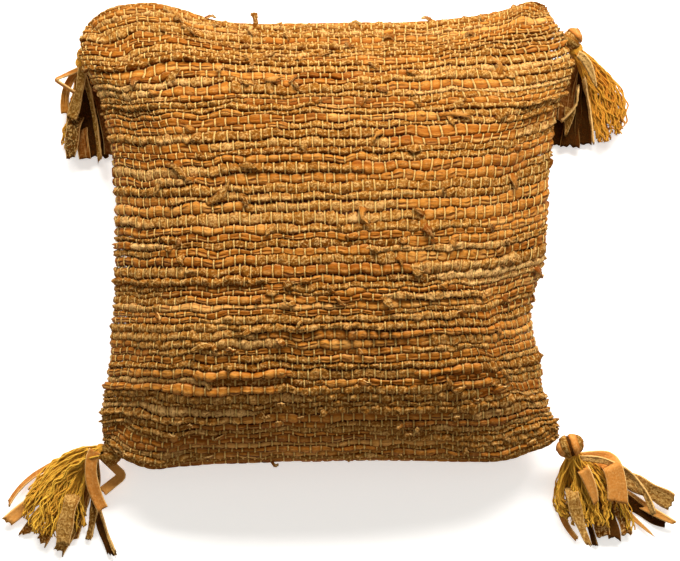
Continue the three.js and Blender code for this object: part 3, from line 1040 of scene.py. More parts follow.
def lay_strip(bundle, side, row, start, end, suede, sides):
    """Bends a bar into one strip, and returns its thickness for a row of full width."""
    rings, swelling = pillow_rings(row, start, end, RING_SHARES[side])
    shape = round_bar(len(rings) - 1, sides)
    angle, along = arched(shape)
    ring = np.round(along * (len(rings) - 1)).astype(int)
    place, swell = rings[ring], swelling[ring]
    low, high, narrow = room_in_row(side, row, place)
    tip = thinned_ends(place, start, end)

    # Its section: how high the arch stands, where it is folded, and how crumpled it is.
    soft = draws.uniform(0, 1)
    proud = PROUD if draws.random() < PROUD_SHARE else 1.0
    full = proud * draws.uniform(*THICK[suede]) * narrow**0.5
    arch = np.sign(np.sin(angle)) * np.abs(np.sin(angle)) ** ARCH_POWER
    fold_at = np.pi * draws.choice([2, 3, 4]) / 6 + 0.15 * np.sin(0.4 * place + draws.uniform(0, 6))
    fold = draws.choice(FOLDS[suede])
    fold = fold * np.exp(-(((angle - fold_at) / FOLD_WIDTH) ** 2)) * (arch > 0)
    lumpy = LUMPY + SUEDE_LUMPY * suede
    crumple = 1 + lumpy * draws.standard_normal(len(place)) + 0.16 * np.sin(1.3 * place + row)
    crumple = crumple + TWIST * suede * np.sin(2 * angle + 1.9 * place)
    if row in (0, ROWS - 1):
        crumple, swell = 1.0, 0.6 + 0.4 * swell
    press = PINCH + (1 - PINCH) * swell
    top = full * press * (0.35 + 0.65 * tip) * (1 - fold) * crumple
    height = np.where(arch > 0, UNDER + (top - UNDER) * arch, UNDER)

    # Its width: a soft strip bulges sideways between the threads, and a stiff one hardly does.
    fullness = draws.uniform(0.78, 1.04) + 0.08 * np.sin(0.7 * place + draws.uniform(0, 6))
    spread = fullness * (0.86 - 0.28 * soft + (0.2 + 0.42 * soft) * swell) * (0.55 + 0.45 * tip)
    spread = spread * (1 + 0.6 * lumpy * draws.standard_normal(len(place)))
    share = (low + high) / 2 + np.cos(angle) * (high - low) / 2 * spread
    places = wrap(place, share, height, side, BACK_ABOVE_FLOOR if side == BACK else 0)

    # Its looks: every pillow differs a little in tone from the next one.
    # The crest sets the painted shade: lower on the flanks, at the pinches and in a fold.
    crest = np.clip(arch, 0, 1) * (0.3 + 0.7 * swell) * (1 - 0.8 * fold)
    strip = (place * WARP_PITCH + row, angle / np.pi * STRIP_WIDTH)
    pillow = np.floor((place + row) / 2)
    tone = draws.normal(0.56, 0.17) + 0.22 * (scatter(7.3 * pillow + 31 * row) - 0.5)
    bundle.add(shape, places, strip, np.clip(tone, 0, 1), crest)
    return full.mean() / np.mean(narrow**0.5)


# %% [markdown]
# ## Weaving both faces
#
# A row is several strips long, and each new one starts a little over the last. How thick and how
# rough the leather is at every thread goes into two tables, which the warp reads next. Where
# strips meet on the front is kept too, because loose ends stand out there.

# %% Weave the strips
STRIP_LENGTH = (7, 36)
SHORTEST_AT_END = 7
OVERLAP = 0.9
SUEDE_SHARE = 0.5
STATIONS = np.arange(2 * WARPS + 1) / 2
thickness = {side: np.full((ROWS, len(STATIONS)), THICK[False][0]) for side in (FRONT, BACK)}
roughness_of = {side: np.zeros((ROWS, len(STATIONS))) for side in (FRONT, BACK)}
ends_of_strips = []


def weave(side, sides):
    strips = {False: Bundle(), True: Bundle()}
    for row in range(ROWS):
        start = 0.0
        while start < WARPS:
            end = start + draws.uniform(*STRIP_LENGTH)
            last = end > WARPS - SHORTEST_AT_END
            end = float(WARPS) if last else np.floor(end / 2) * 2 + row % 2
            suede = draws.random() < SUEDE_SHARE
            begin, stop = max(start - OVERLAP, 0), min(end + OVERLAP, WARPS)
            thick = lay_strip(strips[suede], side, row, begin, stop, suede, sides)
            here = (STATIONS >= begin) & (STATIONS <= stop)
            narrow = room_in_row(side, row, STATIONS)[2]
            thickness[side][row, here] = (thick * narrow**0.5)[here]
            roughness_of[side][row, here] = float(suede)
            if start > 0 and side == FRONT:
                ends_of_strips.append((row, start, suede))
            start = end
    return strips


for side, title, sides in ((FRONT, "front", 8), (BACK, "back", 5)):
    strips = weave(side, sides)
    strips[False].make(f"weft_grain_{title}", GRAIN, "smooth_leather")
    strips[True].make(f"weft_suede_{title}", SUEDE, "suede_leather")
print("joints of strips on the front:", len(ends_of_strips))

# %% [markdown]
# ## Warp threads
#
# Each thread climbs over one row and dives under the next, and its neighbour does the opposite,
# which makes the brick pattern. It sinks a little into suede, whose hairs close over it.

# %% Lay the warp
WARP_RADIUS = 0.76 * MM
OVER = {
    FRONT: ((0.01, 0.1), (0.14, 0.85), (0.5, 1.0), (0.86, 0.85), (0.99, 0.1)),
    BACK: ((0.03, 0.3), (0.5, 1.0), (0.97, 0.3)),
}


def lay_warp(bundle, side, number, sides):
    stations = []
    for row in range(ROWS):
        if (row + number) % 2 == 0:
            stations += [(row, across, rise) for across, rise in OVER[side]]
        else:
            stations.append((row, 0.5, -0.5))
    rows, across, rise = (np.array(column) for column in zip(*stations))
    place = number - WARP_SWAY * np.sin(1.7 * number + 0.9 * rows)
    low, high, _ = room_in_row(side, rows, place)
    held = at_place(thickness[side], rows, place) * PINCH
    sunk = at_place(roughness_of[side], rows, place) * draws.uniform(0, 0.35, len(rows)) * MM
    height = np.where(rise > 0, UNDER + (held - UNDER - sunk) * rise + 0.8 * WARP_RADIUS, UNDER)
    shape = round_bar(len(stations) - 1, sides)
    points = shape[0]
    ring = np.round(points[:, 2] * (len(stations) - 1)).astype(int)
    share = (low + (high - low) * across)[ring]
    sideways = place[ring] - points[:, 0] * WARP_RADIUS / WARP_PITCH
    lift = height[ring] + points[:, 1] * WARP_RADIUS
    places = wrap(sideways, share, lift, side, 0.1 * MM)
    strip = (share * cloth_height, points[:, 0] * WARP_RADIUS)
    bundle.add(shape, places, strip, draws.uniform(0.6, 1.0))


for side, title, sides in ((FRONT, "front", 4), (BACK, "back", 3)):
    threads = Bundle()
    for number in range(1, WARPS):
        lay_warp(threads, side, number, sides)
    threads.make(f"warp_{title}", WARP_COTTON, "cotton_warp")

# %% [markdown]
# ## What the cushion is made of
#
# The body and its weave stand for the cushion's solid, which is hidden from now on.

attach(padding, "root")
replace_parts(padding, "cushion")
print("padding stands for the cushion")

# %% [markdown]
# ## Loose ends
#
# Where one strip ends and the next begins, the weaver leaves a rag of a centimetre or so. It
# stands off the face and curls. The most striking ones have their places in this table: x and y
# in millimetres, a heading in degrees, and the length, the width and the rise in millimetres.

# %% Write down the loose ends
RAG_COLUMNS = ("x", "y", "heading", "length", "width", "rise", "tone", "kind")
RAGS = [
    (-71, 204, 95, 7, 8, 11, 0.15, "suede"),
    (-145, 212, 200, 8, 7, 4, 0.2, "suede"),
    (-125, 197, 185, 10, 7, 4, 0.1, "suede"),
    (-72, 168, 275, 13, 6, 5, 0.15, "suede"),
    (-62, 153, 330, 15, 8, 7, 0.85, "grain"),
    (-76, 150, 215, 9, 7, 4, 0.6, "suede"),
    (-31, 140, 110, 9, 5, 5, 0.1, "suede"),
    (-39, 191, 150, 9, 6, 4, 0.5, "suede"),
    (-184, 155, 260, 10, 9, 5, 0.3, "grain"),
    (-157, 151, 20, 14, 8, 4, 0.5, "suede"),
    (158, 157, 60, 15, 6, 6, 0.6, "grain"),
    (102, 116, 5, 22, 5, 3, 0.7, "grain"),
    (90, 15, 300, 15, 7, 6, 0.1, "grain"),
    (173, 64, 280, 14, 7, 5, 0.5, "grain"),
    (158, -147, 20, 16, 6, 6, 0.55, "grain"),
    (117, -142, 340, 11, 7, 4, 0.4, "suede"),
    (-112, -102, 170, 17, 7, 4, 0.6, "suede"),
    (31, 30, 250, 15, 8, 5, 0.8, "grain"),
    (-117, 34, 25, 30, 8, 4, 0.5, "suede"),
    (-155, 69, 350, 20, 7, 3, 0.5, "suede"),
    (-87, 68, 10, 15, 7, 4, 0.4, "suede"),
    (-139, -12, 260, 11, 7, 4, 0.3, "suede"),
    (199, -26, 280, 12, 7, 5, 0.1, "grain"),
    (-30, -60, 200, 12, 6, 4, 0.5, "suede"),
]
print("striking loose ends:", len(RAGS))

# %% [markdown]
# ## Rags that stand out
#
# Each rag is a short ribbon with a torn end, that rises, bends aside and comes down again. More of
# them are strewn over the joints of the strips, where the weave really has them.

# %% Let the loose ends stand out
RAG_SHARE = 0.4
RAG_WIDTH = (4, 8)
RAG_LENGTH = (5, 12)
RAG_RISE = (1.5, 4)
RAG_THICKNESS = 1.8 * MM
RAG_ROOT = 2.2 * MM


def place_under(x, y):
    """The place and share on the front that lie under a point of the picture."""
    places, shares = np.meshgrid(np.arange(WARPS + 1.0), np.linspace(0, 1, 2 * ROWS))
    gaps = wrap(places, shares, 0 * places, FRONT)[..., :2] - np.array([x, y]) * MM
    nearest = np.unravel_index(np.sum(gaps**2, axis=-1).argmin(), places.shape)
    return places[nearest], shares[nearest]


def lay_rag(bundle, place, share, heading, length, width, rise, tone):
    shape = flat_bar(12, 4)
    across, through, along = shape[0].T
    torn = 1 + 0.16 * np.sin(4 * across + place) * along**4
    reached = along * torn * length * MM
    angle = np.radians(heading) + draws.uniform(-0.7, 0.7) * along**2
    half = width * MM / 2 * (1 - 0.55 * along**3) * (0.8 + 0.25 * np.sin(6 * along + place))
    half = half * (1 + 0.12 * draws.standard_normal(len(along)))
    forward = reached * np.cos(angle) - across * half * np.sin(angle)
    aside = reached * np.sin(angle) + across * half * np.cos(angle)
    folded = np.sin(np.pi * np.minimum(along * draws.uniform(0.55, 1.0), 1) * 0.85)
    lift = RAG_ROOT + rise * MM * folded - 0.3 * rise * MM * across**2 * (1 - along)
    lift = lift + 0.35 * MM * draws.standard_normal(len(along)) + through * RAG_THICKNESS / 2
    places = wrap(place + forward / WARP_PITCH, share + aside / cloth_height, lift, FRONT)
    rim = (np.abs(across) > 0.99) | (along > 0.99)
    strip = (reached + place, across * width * MM)
    # The crest paints shade on the rag: darker at its root, lighter where it rises.
    crest = np.clip(0.45 + 0.6 * folded, 0, 1)
    bundle.add(shape, places, strip, tone, crest, rim.astype(float))


rags = {"grain": Bundle(), "suede": Bundle()}
for row in RAGS:
    rag = dict(zip(RAG_COLUMNS, row))
    bundle = rags[rag.pop("kind")]
    lay_rag(bundle, *place_under(rag.pop("x"), rag.pop("y")), **rag)
for row, place, of_suede in ends_of_strips:
    if draws.random() < RAG_SHARE:
        low, high, _ = room_in_row(FRONT, row, np.array(place))
        sizes = [draws.uniform(*limits) for limits in (RAG_LENGTH, RAG_WIDTH, RAG_RISE)]
        heading = draws.choice([0, 180]) + draws.uniform(-60, 60)
        kind = "suede" if of_suede else "grain"
        lay_rag(rags[kind], place, (low + high) / 2, heading, *sizes, draws.uniform(0.1, 0.8))
rags["grain"].make("loose_ends_grain", GRAIN, "smooth_leather")
rags["suede"].make("loose_ends_suede", SUEDE, "suede_leather")

# %% [markdown]
# ## Tassels
#
# A tassel starts as a knob of rolled leather at the corner. A few turns of yarn bind its neck,
# and below them a fan of crinkled yarns and leather strips spreads over the floor. The fan has
# the reach of its yarns at some headings, and bows outward at its first and last one. The table
# of strips gives a point on the way and the end, the width and the height at which the end lies,
# the roll about its length, the tone, the shares of the width that are left at the root and at
# the tip, the share of the way that is tucked under the yarns, and how sharply it is folded. The
# knob's entry gives its tone, the heading of its axis and the finish of each of its bands. Lengths
# are in millimetres and headings in degrees.

# %% Write down the tassels
STRIP_COLUMNS = (
    "via_x", "via_y", "end_x", "end_y", "width", "layer", "roll", "tone",
    "root", "tip", "tucked", "fold", "kind",
)
# The yarns' tones are set lighter at the two bottom corners: painted light, making up for the
# cushion's shadow and the weaker key light there.
TASSELS = {
    "bottom_left": {
        "head": ((-214, -208, 25), (9, 13, 9)), "apex": (-229, -205, 21), "heading": 170,
        "fan": ((211, 78), (222, 98), (234, 102), (248, 94), (262, 76)), "bows": (8, 3),
        "yarns": 180, "layers": (1.2, 17), "tangle": 1.7, "tones": (0.5, 1.0),
        "knob": (0.4, 90, ("suede", "khaki", "suede", "khaki", "suede")),
        "strips": [
            (-233, -231, -222, -263, 13, 21, 0, 0.5, 0.95, 0.9, 0, 0, "tan"),
            # This folded loop lies in the cushion's shadow, so its tone is raised to the palest:
            # painted light.
            (-203, -230, -223, -246, 10, 9, 12, 1.0, 0.8, 1, 0, 1, "tan"),
            (-250, -246, -261, -297, 14, 21, 6, 0.6, 0.6, 1.1, 0.45, 0, "khaki"),
            (-231, -254, -214, -309, 7, 5, 10, 0.3, 0.6, 1.1, 0.3, 0, "dark"),
            (-228, -254, -210, -308, 3.5, 6, 30, 1.0, 0.6, 1.1, 0.3, 0, "khaki"),
            (-231, -257, -237, -293, 10, 4, 25, 0.3, 0.6, 0.7, 0.2, 0, "khaki"),
            (-240, -252, -251, -293, 10, 3, 20, 0.2, 0.6, 0.8, 0.3, 0, "grain"),
            (-243, -255, -266, -305, 14, 5, 8, 0.35, 0.5, 0.9, 0.5, 0, "khaki"),
            (-254, -248, -283, -296, 14, 4, 12, 0.3, 0.5, 0.8, 0.5, 0, "suede"),
            (-262, -242, -301, -288, 12, 3, 20, 0.1, 0.5, 0.8, 0.5, 0, "suede"),
            (-268, -236, -317, -276, 12, 6, -8, 0.8, 0.6, 1, 0.5, 0, "tan"),
            (-284, -226, -315, -258, 7, 7, 40, 0.35, 0.6, 0.8, 0.2, 0, "tan"),
        ],
    },
    "bottom_right": {
        "head": ((233.8, -200.5, 29), (14, 10.5, 11)), "apex": (238, -213, 22), "heading": 292,
        "fan": ((260, 58), (276, 68), (290, 71), (301, 80), (306, 92), (311, 93)), "bows": (15, 17),
        "yarns": 175, "layers": (1.2, 17), "tangle": 1.5, "tones": (0.45, 1.0),
        "knob": (0.5, 20, ("tan", "khaki", "dark", "tan", "khaki")),
        "strips": [
            (237, -250, 253, -298, 17, 21, -6, 0.6, 0.7, 0.3, 0.35, 0, "khaki"),
            (225, -256, 242, -293, 8, 4, 20, 0.5, 0.6, 0.7, 0.4, 0, "tan"),
            (250, -229, 260, -257, 17, 21.5, 8, 0.65, 0.8, 0.35, 0.25, 0, "tan"),
            (274, -217, 281, -256, 20, 21, 0, 0.6, 0.5, 1, 0.42, 0.5, "tan"),
            (288, -225, 316, -267, 7, 15, 35, 0.75, 0.9, 1, 0, 0, "khaki"),
            (297, -237, 335, -257, 17, 10, 10, 0.6, 0.3, 1, 0.5, 0, "khaki"),
            (294, -252, 338, -277, 12, 7, 5, 0.8, 0.6, 0.4, 0.6, 0, "tan"),
            (292, -256, 329, -276, 13, 2.6, 10, 0.1, 0.6, 1, 0.3, 0, "dark"),
            (280, -256, 317, -289, 9, 3.4, 0, 0.75, 0.6, 0.2, 0.4, 0, "tan"),
            (250, -262, 260, -299, 8, 2, 20, 0.2, 0.6, 0.7, 0.3, 0, "dark"),
            (258, -257, 268, -290, 15, 6, 10, 0.0, 0.6, 0.9, 0.4, 0, "suede"),
            (266, -252, 279, -292, 13, 7, -10, 0.6, 0.6, 0.9, 0.4, 0, "dark"),
            (275, -251, 291, -288, 12, 5, 0, 0.0, 0.6, 0.9, 0.4, 0, "suede"),
        ],
    },
    "top_left": {
        "head": ((-237, 180, 27), (9, 10, 9)), "apex": (-242, 168, 21), "heading": 262,
        "fan": ((252, 76), (258, 82), (266, 80)), "bows": (2, 2),
        "yarns": 45, "layers": (1.2, 6), "tangle": 1.0, "tones": (0.1, 0.6),
        "knob": (0.5, 0, ("yarn", "yarn", "yarn", "yarn", "yarn")),
        "strips": [
            (-257, 150, -259, 124, 9, 12, 10, 0.65, 0.8, 1, 0, 0, "grain"),
            (-269, 157, -249, 144, 7, 17, 60, 0.45, 0.7, 0.9, 0, 1, "tan"),
            (-245, 145, -253, 119, 11, 19, 15, 0.5, 0.7, 1, 0, 0, "khaki"),
            (-250, 119, -254, 81, 19, 13, 5, 0.0, 0.5, 0.5, 0.42, 0, "khaki"),
            (-244, 122, -240, 80, 12, 8, 0, 0.1, 0.6, 1, 0.55, 0, "grain"),
            (-232, 128, -225, 78, 6, 14, 40, 0.45, 0.8, 1, 0, 0, "khaki"),
            (-223, 130, -215, 84, 13, 5, 0, 0.0, 0.7, 1, 0, 0, "grain"),
            (-238, 126, -233, 82, 19, 6, 0, 0.1, 0.7, 1, 0, 0, "dark"),
            (-228, 128, -223, 82, 13, 2, 0, 0.5, 0.7, 1, 0, 0, "dark"),
        ],
    },
    "top_right": {
        "head": ((234.6, 195.3, 33), (9, 12, 10)), "apex": (241, 181, 27), "heading": 296,
        "fan": ((284, 88), (291, 90), (299, 88), (306, 82)), "bows": (0, 15),
        "yarns": 150, "layers": (1.2, 17), "tangle": 1.6, "tones": (0.0, 0.6),
        "knob": (0.45, 50, ("suede", "khaki", "suede", "tan")),
        "strips": [
            (251, 171, 259, 150, 17, 25, 12, 1.0, 0.45, 0.15, 0, 0, "khaki"),
            (252, 138, 257, 96, 8, 18, 80, 1.0, 0.3, 1, 0.15, 0, "khaki"),
            (242, 136, 226, 116, 7, 17, 80, 1.0, 0.3, 1, 0.3, 0.6, "khaki"),
            (234, 148, 230, 116, 15, 9, 0, 0.1, 0.6, 1, 0, 0, "grain"),
            (236, 136, 231, 103, 15, 13, 0, 0.45, 0.6, 0.2, 0.5, 0, "khaki"),
            (228, 136, 220, 94, 16, 3, 0, 0.25, 0.7, 1, 0, 0, "dark"),
            (238, 136, 235, 91, 18, 5, 0, 0.3, 0.7, 1, 0, 0, "dark"),
            (247, 136, 249, 94, 17, 4, 0, 0.25, 0.7, 1, 0, 0, "dark"),
        ],
    },
}


print("strips in the tassels:", sum(len(tassel["strips"]) for tassel in TASSELS.values()))

# %% [markdown]
# ### How a strand falls and bows
#
# A tassel on a floor leans from its neck and settles. Its strands fall together from the neck and
# then run level, each at its own height, so they lie over each other and not through each other.
# Seen from above, each follows a bow through one point on its way, or bends sharply there.

# %% Find the way of a strand
HIGHEST_LAYER = 19 * MM
SKIRT_DEPTH = 17 * MM
SKIRT_FALL = 58 * MM
BEND_ROUNDING = (-0.05, -0.02, 0.02, 0.05)


def strand_height(apex, layer, distance):
    """A strand falls with the rest of its skirt, and then runs level at its own height."""
    left = np.maximum(1 - distance / SKIRT_FALL, 0) ** 2
    start = apex[2] + SKIRT_DEPTH * (layer / HIGHEST_LAYER - 0.5)
    return layer + (start - layer) * left


def heading_of(degrees):
    angle = np.radians(degrees)
    return np.array([np.cos(angle), np.sin(angle), 0])


def smoothly(value):
    value = np.clip(value, 0, 1)
    return value * value * (3 - 2 * value)


def bow(start, via, end, t, fold=0.0):
    """A way from start to end by via: a soft bow where fold is 0, a sharp bend where it is 1."""
    t = t[:, None]
    pull = 2 * via - (start + end) / 2
    soft = (1 - t) ** 2 * start + 2 * t * (1 - t) * pull + t**2 * end
    if fold == 0:
        return soft
    corner = np.linalg.norm(via - start)
    corner = corner / (corner + np.linalg.norm(end - via))
    sharp = 0
    for shift in BEND_ROUNDING:
        near = t + shift
        before = start + (via - start) * near / corner
        after = via + (end - via) * (near - corner) / (1 - corner)
        sharp = sharp + np.where(near < corner, before, after) / len(BEND_ROUNDING)
    return soft * (1 - fold) + sharp * fold


def way_and_side(start, via, end, t, fold=0.0):
    """The places of a way, and the arrows to its left."""
    ahead = bow(start, via, end, t + 0.01, fold) - bow(start, via, end, t - 0.01, fold)
    ahead = ahead / np.linalg.norm(ahead, axis=1, keepdims=True)
    return bow(start, via, end, t, fold), np.stack([-ahead[:, 1], ahead[:, 0]], axis=1)


# %% [markdown]
# ### Strips in the tassels
#
# A tassel's strip is a ribbon about a millimetre and a half thick. It is narrow where it is
# gathered, bows on its way, cups a little across its width, and ends in a slanted, ragged cut.
# Its edges are skived, so the pale inside of the leather shows along them.

# %% Cut a strip of a tassel
STRIP_STEPS, STRIP_LANES = 28, 6
STRIP_THICKNESS = 1.4 * MM
SKIVED = 0.8 * MM
OPENED_AFTER = 45 * MM
LOWEST_LAYER = 1.5 * MM
ROUGH_KINDS = ("suede", "khaki", "dark")


def tassel_strip(bundle, apex, row):
    cut = dict(zip(STRIP_COLUMNS, row))
    apex = np.array(apex) * MM
    via, end = (np.array((cut[f"{name}_x"], cut[f"{name}_y"])) * MM for name in ("via", "end"))
    rough = cut["kind"] in ROUGH_KINDS
    shape = flat_bar(STRIP_STEPS, STRIP_LANES)
    across, through, along = shape[0].T

    # Its way over the floor, up to a slanted and ragged end.
    slant, ragged = draws.uniform(-0.03, 0.03), 0.013 if rough else 0.005
    lane = np.round((across + 1) * STRIP_LANES / 2).astype(int)
    jag = slant * across + ragged * draws.standard_normal(STRIP_LANES + 1)[lane]
    way = along * (1 + jag * along**6)
    middle, left = way_and_side(apex[:2], via, end, way, cut["fold"])
    distance = np.linalg.norm(middle - apex[:2], axis=1)

    # Its width, from the gathered root to the cut tip.
    wavy = 1 + (0.1 if rough else 0.03) * np.sin(distance / (5 * MM) + end[1] / MM)
    opened = cut["root"] + (1 - cut["root"]) * smoothly(distance / OPENED_AFTER)
    opened = opened * (1 + (cut["tip"] - 1) * along**2)
    half = cut["width"] * MM / 2 * opened * wavy

    # Its height: tucked low under the yarns at first, and then at its own layer.
    hidden = strand_height(apex, LOWEST_LAYER, distance)
    height = strand_height(apex, cut["layer"] * MM, distance)
    shown = smoothly((along - cut["tucked"]) / 0.15) if cut["tucked"] else 1
    height = hidden + (height - hidden) * shown
    height = height + 1.2 * MM * np.sin(distance / (11 * MM) + via[0] / MM)

    # Its section: skived edges, a cup across it, and a roll about its length.
    turned = np.radians(cut["roll"]) * smoothly(along * 2)
    skived = across * (half - np.where(through > 0, SKIVED, 0))
    thick = through * STRIP_THICKNESS / 2 + 0.14 * half * (across**2 - 0.4)
    thick = thick + (0.25 if rough else 0.08) * MM * draws.standard_normal(len(across))
    sideways = skived * np.cos(turned) - thick * np.sin(turned)
    lift = skived * np.sin(turned) + thick * np.cos(turned)
    above_floor = np.where(through > 0, STRIP_THICKNESS, 0.02 * MM)
    flat = middle + left * sideways[:, None]
    places = np.column_stack([flat, np.maximum(height + lift, above_floor)])
    rim = (np.abs(across) > 0.99) | (along > 0.995)
    strip = (distance + end[0], across * half)
    bundle.add(shape, places, strip, cut["tone"], 0.9, rim.astype(float))


# %% [markdown]
# ### Yarns in locks
#
# The yarns hang in locks of five, which share a place in the fan and their curls, as yarns that
# were handled together do. Each yarn is a thin bar with a fine crimp of its own, and two waves
# bring its lock's curls to it, one sideways and one up and down.

# %% Spin a yarn of a tassel
YARN_RADIUS = 0.74 * MM
YARNS_IN_LOCK = 5
YARN_STEPS = 36
CRIMP_LENGTH = 10 * MM
CRIMP = 0.45 * MM
CURL_LENGTH = 25 * MM
CURL = 1.8 * MM
LOWEST_YARN = 1.2 * MM
BEHIND_APEX = 5 * MM


def lock_of_yarns(tassel):
    """What the yarns of one lock share: their place in the fan, their lean and their curls."""
    share = draws.uniform(0, 1)
    calm = 1 - 0.8 * np.abs(2 * share - 1) ** 2
    return {
        "share": share,
        "lean": draws.normal(0, 2 * MM * tassel["tangle"]) * calm,
        "layer": draws.uniform(*tassel["layers"]) * MM,
        "begin": draws.uniform(0, 6.28, 3),
        "curl_length": CURL_LENGTH * draws.uniform(0.6, 1.5),
        "curl": CURL * tassel["tangle"] * draws.uniform(0.2, 1.3) * calm,
    }


def tassel_yarn(bundle, tassel, lock):
    apex = np.array(tassel["apex"]) * MM
    shape = round_bar(YARN_STEPS, 4)
    sideward, upward, along = shape[0].T

    # Its place in the fan, and the way it bows there from its root in the neck.
    headings, reaches = zip(*tassel["fan"])
    share = np.clip(lock["share"] + draws.normal(0, 0.035), 0, 1)
    degrees = headings[0] + (headings[-1] - headings[0]) * share
    reach = np.interp(degrees, headings, reaches) * MM * (1 - 0.3 * draws.random() ** 2)
    neck = heading_of(tassel["heading"])
    aside = np.array([-neck[1], neck[0], 0])
    root = np.array([draws.uniform(-5.5, 5.5), draws.normal(0, 2.4)]) * MM
    first_bow, last_bow = tassel["bows"]
    outward = last_bow * share**2 - first_bow * (1 - share) ** 2
    start = apex - neck * BEHIND_APEX + aside * root[0]
    end = apex + heading_of(degrees) * reach
    via = apex + (heading_of(degrees) + 0.2 * neck) * reach * 0.45
    via = via + aside * (outward * MM + lock["lean"] + draws.normal(0, 0.8 * MM))
    middle, left = way_and_side(start[:2], via[:2], end[:2], along)
    distance = np.linalg.norm(middle - apex[:2], axis=1)
    layer = np.clip(lock["layer"] + draws.normal(0, 1.2 * MM), LOWEST_YARN, HIGHEST_LAYER)
    height = strand_height(apex, layer, distance)

    # Its crimp and its curls, which start where the neck lets it go.
    begin = lock["begin"] + draws.normal(0, 0.4, 3)
    loosened = smoothly(along * 3 + 0.15)
    turns = 2 * np.pi * along * reach / (CRIMP_LENGTH * draws.uniform(0.8, 1.4))
    curls = 2 * np.pi * along * reach / (lock["curl_length"] * draws.uniform(0.92, 1.08))
    sway = CRIMP * loosened * np.sin(turns + begin[0])
    sway = sway + lock["curl"] * loosened * np.sqrt(along) * np.sin(curls + begin[1])
    lift = CRIMP * loosened * np.cos(turns * 1.07 + begin[0]) + root[1] * (1 - along) ** 3
    lift = lift + 1.2 * MM * along * np.sin(curls * 0.8 + begin[2])
    thick = YARN_RADIUS * draws.uniform(0.85, 1.2)
    flat = middle + left * (sway + sideward * thick)[:, None]
    up = np.maximum(height + lift, 1.05 * thick) + upward * thick
    strip = (along * reach, sideward * thick)
    bundle.add(shape, np.column_stack([flat, up]), strip, draws.uniform(*tassel["tones"]))


# %% [markdown]
# ### Binding
#
# The binding is one yarn wound round the neck, which leans down to the floor. It is a bar bent
# round an axis. One function places a point by its angle, its radius and its place along the
# axis, and the knob uses it too.

# %% Wind the binding
BINDING_TURNS = 5
STEPS_IN_TURN = 20
BINDING_RADIUS = 7.0 * MM
BINDING_LENGTH = 6.5 * MM
BINDING_YARN = 0.85 * MM
NECK_LEAN = np.pi / 8
TIE_BEHIND_APEX = 6 * MM


def round_axis(middle, axis, angle, radius, along):
    """Points round an axis. Angle 0 looks up."""
    axis = axis / np.linalg.norm(axis)
    first = np.cross(axis, np.cross([0, 0, 1.0], axis))
    first = first / np.linalg.norm(first)
    second = np.cross(axis, first)
    around = np.cos(angle)[:, None] * first + np.sin(angle)[:, None] * second
    return middle + around * radius[:, None] + axis * along[:, None]


def binding(bundle, tassel):
    axis = heading_of(tassel["heading"]) + np.array([0, 0, -np.tan(NECK_LEAN)])
    axis = axis / np.linalg.norm(axis)
    middle = np.array(tassel["apex"]) * MM - axis * TIE_BEHIND_APEX
    shape = round_bar(BINDING_TURNS * STEPS_IN_TURN, 6)
    outward, upward, wound = shape[0].T
    angle = wound * BINDING_TURNS * 2 * np.pi
    lift = 0.35 * MM * np.sin(3 * angle) - 1.2 * MM * np.abs(wound * 2 - 1) ** 3
    radius = BINDING_RADIUS + lift + outward * BINDING_YARN
    along = (wound - 0.5) * BINDING_LENGTH - upward * BINDING_YARN
    places = round_axis(middle, axis, angle, radius, along)
    bundle.add(shape, places, (angle * BINDING_RADIUS, outward * BINDING_YARN), 0.5)


# %% [markdown]
# ### Knob
#
# The knob is the corner's leather rolled up: a few broad bands over a core, each with a finish of
# its own. The bands go round the long axis of the knob, every other one a little further out, so
# they overlap as wound leather does. The core fills what shows between them.

# %% Roll the knob
BAND_TURNS = 1.15
BAND_STEP = 1.5 * MM
BAND_OVERLAP = 1.35
BAND_SPREAD = 0.7
BAND_HALF_THICKNESS = 0.8 * MM
FIRST_BAND_INSIDE = 2.4 * MM
CORE_INSIDE = 1.6 * MM
CORE_SHARE = 0.93


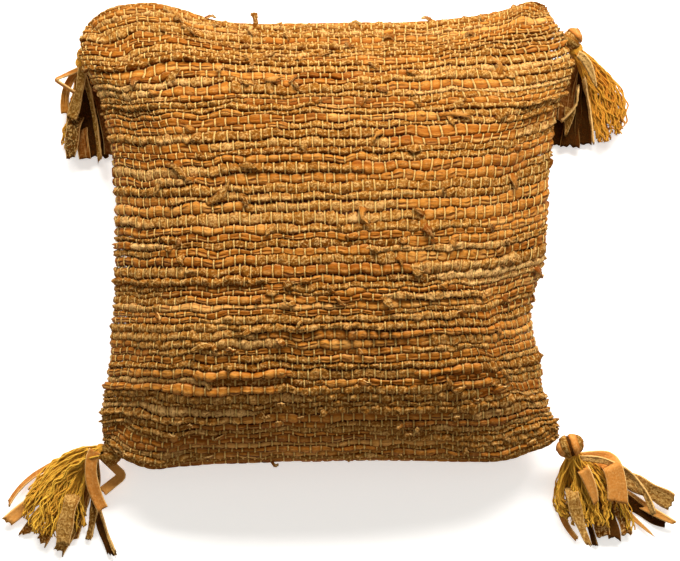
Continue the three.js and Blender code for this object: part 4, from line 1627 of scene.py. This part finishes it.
def knob(bundles, tassel):
    middle, half = (np.array(v) * MM for v in tassel["head"])
    tone, wound, kinds = tassel["knob"]
    long_axis = heading_of(wound)
    reach, thick = max(half[0], half[1]), min(half[0], half[1])
    width = reach / len(kinds) * BAND_OVERLAP
    for number, kind in enumerate(kinds):
        shape = flat_bar(40, 6)
        across, through, wrapped = shape[0].T
        spot = (number / (len(kinds) - 1) - 0.5) * 2
        tilt = draws.uniform(-0.1, 0.1, 3)
        angle = wrapped * 2 * BAND_TURNS * np.pi + draws.uniform(0, 6)
        along = (spot * BAND_SPREAD + 0.05 * np.sin(angle + number)) * reach + across * width
        bulge = np.sqrt(np.clip(1 - (along / reach) ** 2, 0.02, 1))
        layer = BAND_STEP * (0.7 * wrapped + number % 2)
        puff = 0.8 * MM * (1 - across**2) + 0.35 * MM * np.sin(4 * angle + 2 * number)
        puff = puff + 0.2 * MM * draws.standard_normal(len(along))
        radius = (thick - FIRST_BAND_INSIDE) * bulge + layer * bulge + puff
        radius = radius + through * BAND_HALF_THICKNESS
        places = round_axis(middle, long_axis + tilt, angle, radius, along)
        shade = np.clip(tone + draws.uniform(-0.12, 0.12), 0, 1)
        # The crest paints shade on each band: darker towards its edges.
        crest = 0.45 + 0.55 * (1 - across**2)
        rim = (np.abs(across) > 0.99).astype(float)
        bundles[kind].add(shape, places, (angle * thick, across * width), shade, crest, rim)
    core = round_bar(12, 16)
    first, second, share = core[0].T
    along = (share * 2 - 1) * reach * CORE_SHARE
    radius = (thick - CORE_INSIDE) * np.sqrt(np.clip(1 - (along / reach) ** 2, 0, 1))
    angle = np.arctan2(second, first)
    places = round_axis(middle, long_axis, angle, radius, along)
    # The core's low crest paints it in shade.
    bundles[kinds[0]].add(core, places, (angle * thick, along), tone, 0.4)


# %% [markdown]
# ### Putting the tassels together
#
# Every tassel is made the same way, from its own entry in the table. Its strips and its bands are
# gathered by finish, one mesh for each. Its yarns stand for the tassel's solid and its binding
# for the tie's solid, so those two are hidden.

# %% Make the tassels
TASSEL_FINISH = {
    "tan": (TAN, "smooth_leather"),
    "grain": (GRAIN, "smooth_leather"),
    "suede": (SUEDE, "suede_leather"),
    "khaki": (KHAKI, "suede_leather"),
    "dark": (DARK_SUEDE, "suede_leather"),
    "yarn": (TASSEL_YARN, "tassel_yarn"),
}
for corner, tassel in TASSELS.items():
    for kind, finish in TASSEL_FINISH.items():
        rows = [row for row in tassel["strips"] if row[-1] == kind]
        strips = Bundle()
        for row in rows:
            tassel_strip(strips, tassel["apex"], row)
        if rows:
            strips.make(f"{kind}_strips_{corner}", *finish)
    yarns = Bundle()
    for number in range(tassel["yarns"]):
        if number % YARNS_IN_LOCK == 0:
            lock = lock_of_yarns(tassel)
        tassel_yarn(yarns, tassel, lock)
    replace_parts(yarns.make(f"yarns_{corner}", *TASSEL_FINISH["yarn"]), f"tassel_{corner}")
    winding = Bundle()
    binding(winding, tassel)
    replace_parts(winding.make(f"binding_{corner}", *TASSEL_FINISH["yarn"]), f"tie_{corner}")
    rolled = {kind: Bundle() for kind in tassel["knob"][2]}
    knob(rolled, tassel)
    for kind, bands in rolled.items():
        bands.make(f"{kind}_knob_{corner}", *TASSEL_FINISH[kind])

# %% [markdown]
# ## Closing
#
# The size of everything that shows is printed beside the size of the solids, so the two can be
# compared.

# %% Write the sizes and finish
visual_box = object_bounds()
for name, box in (("solids", cad_box), ("visual", visual_box)):
    print(name, [[round(value / MM, 1) for value in corner] for corner in box])
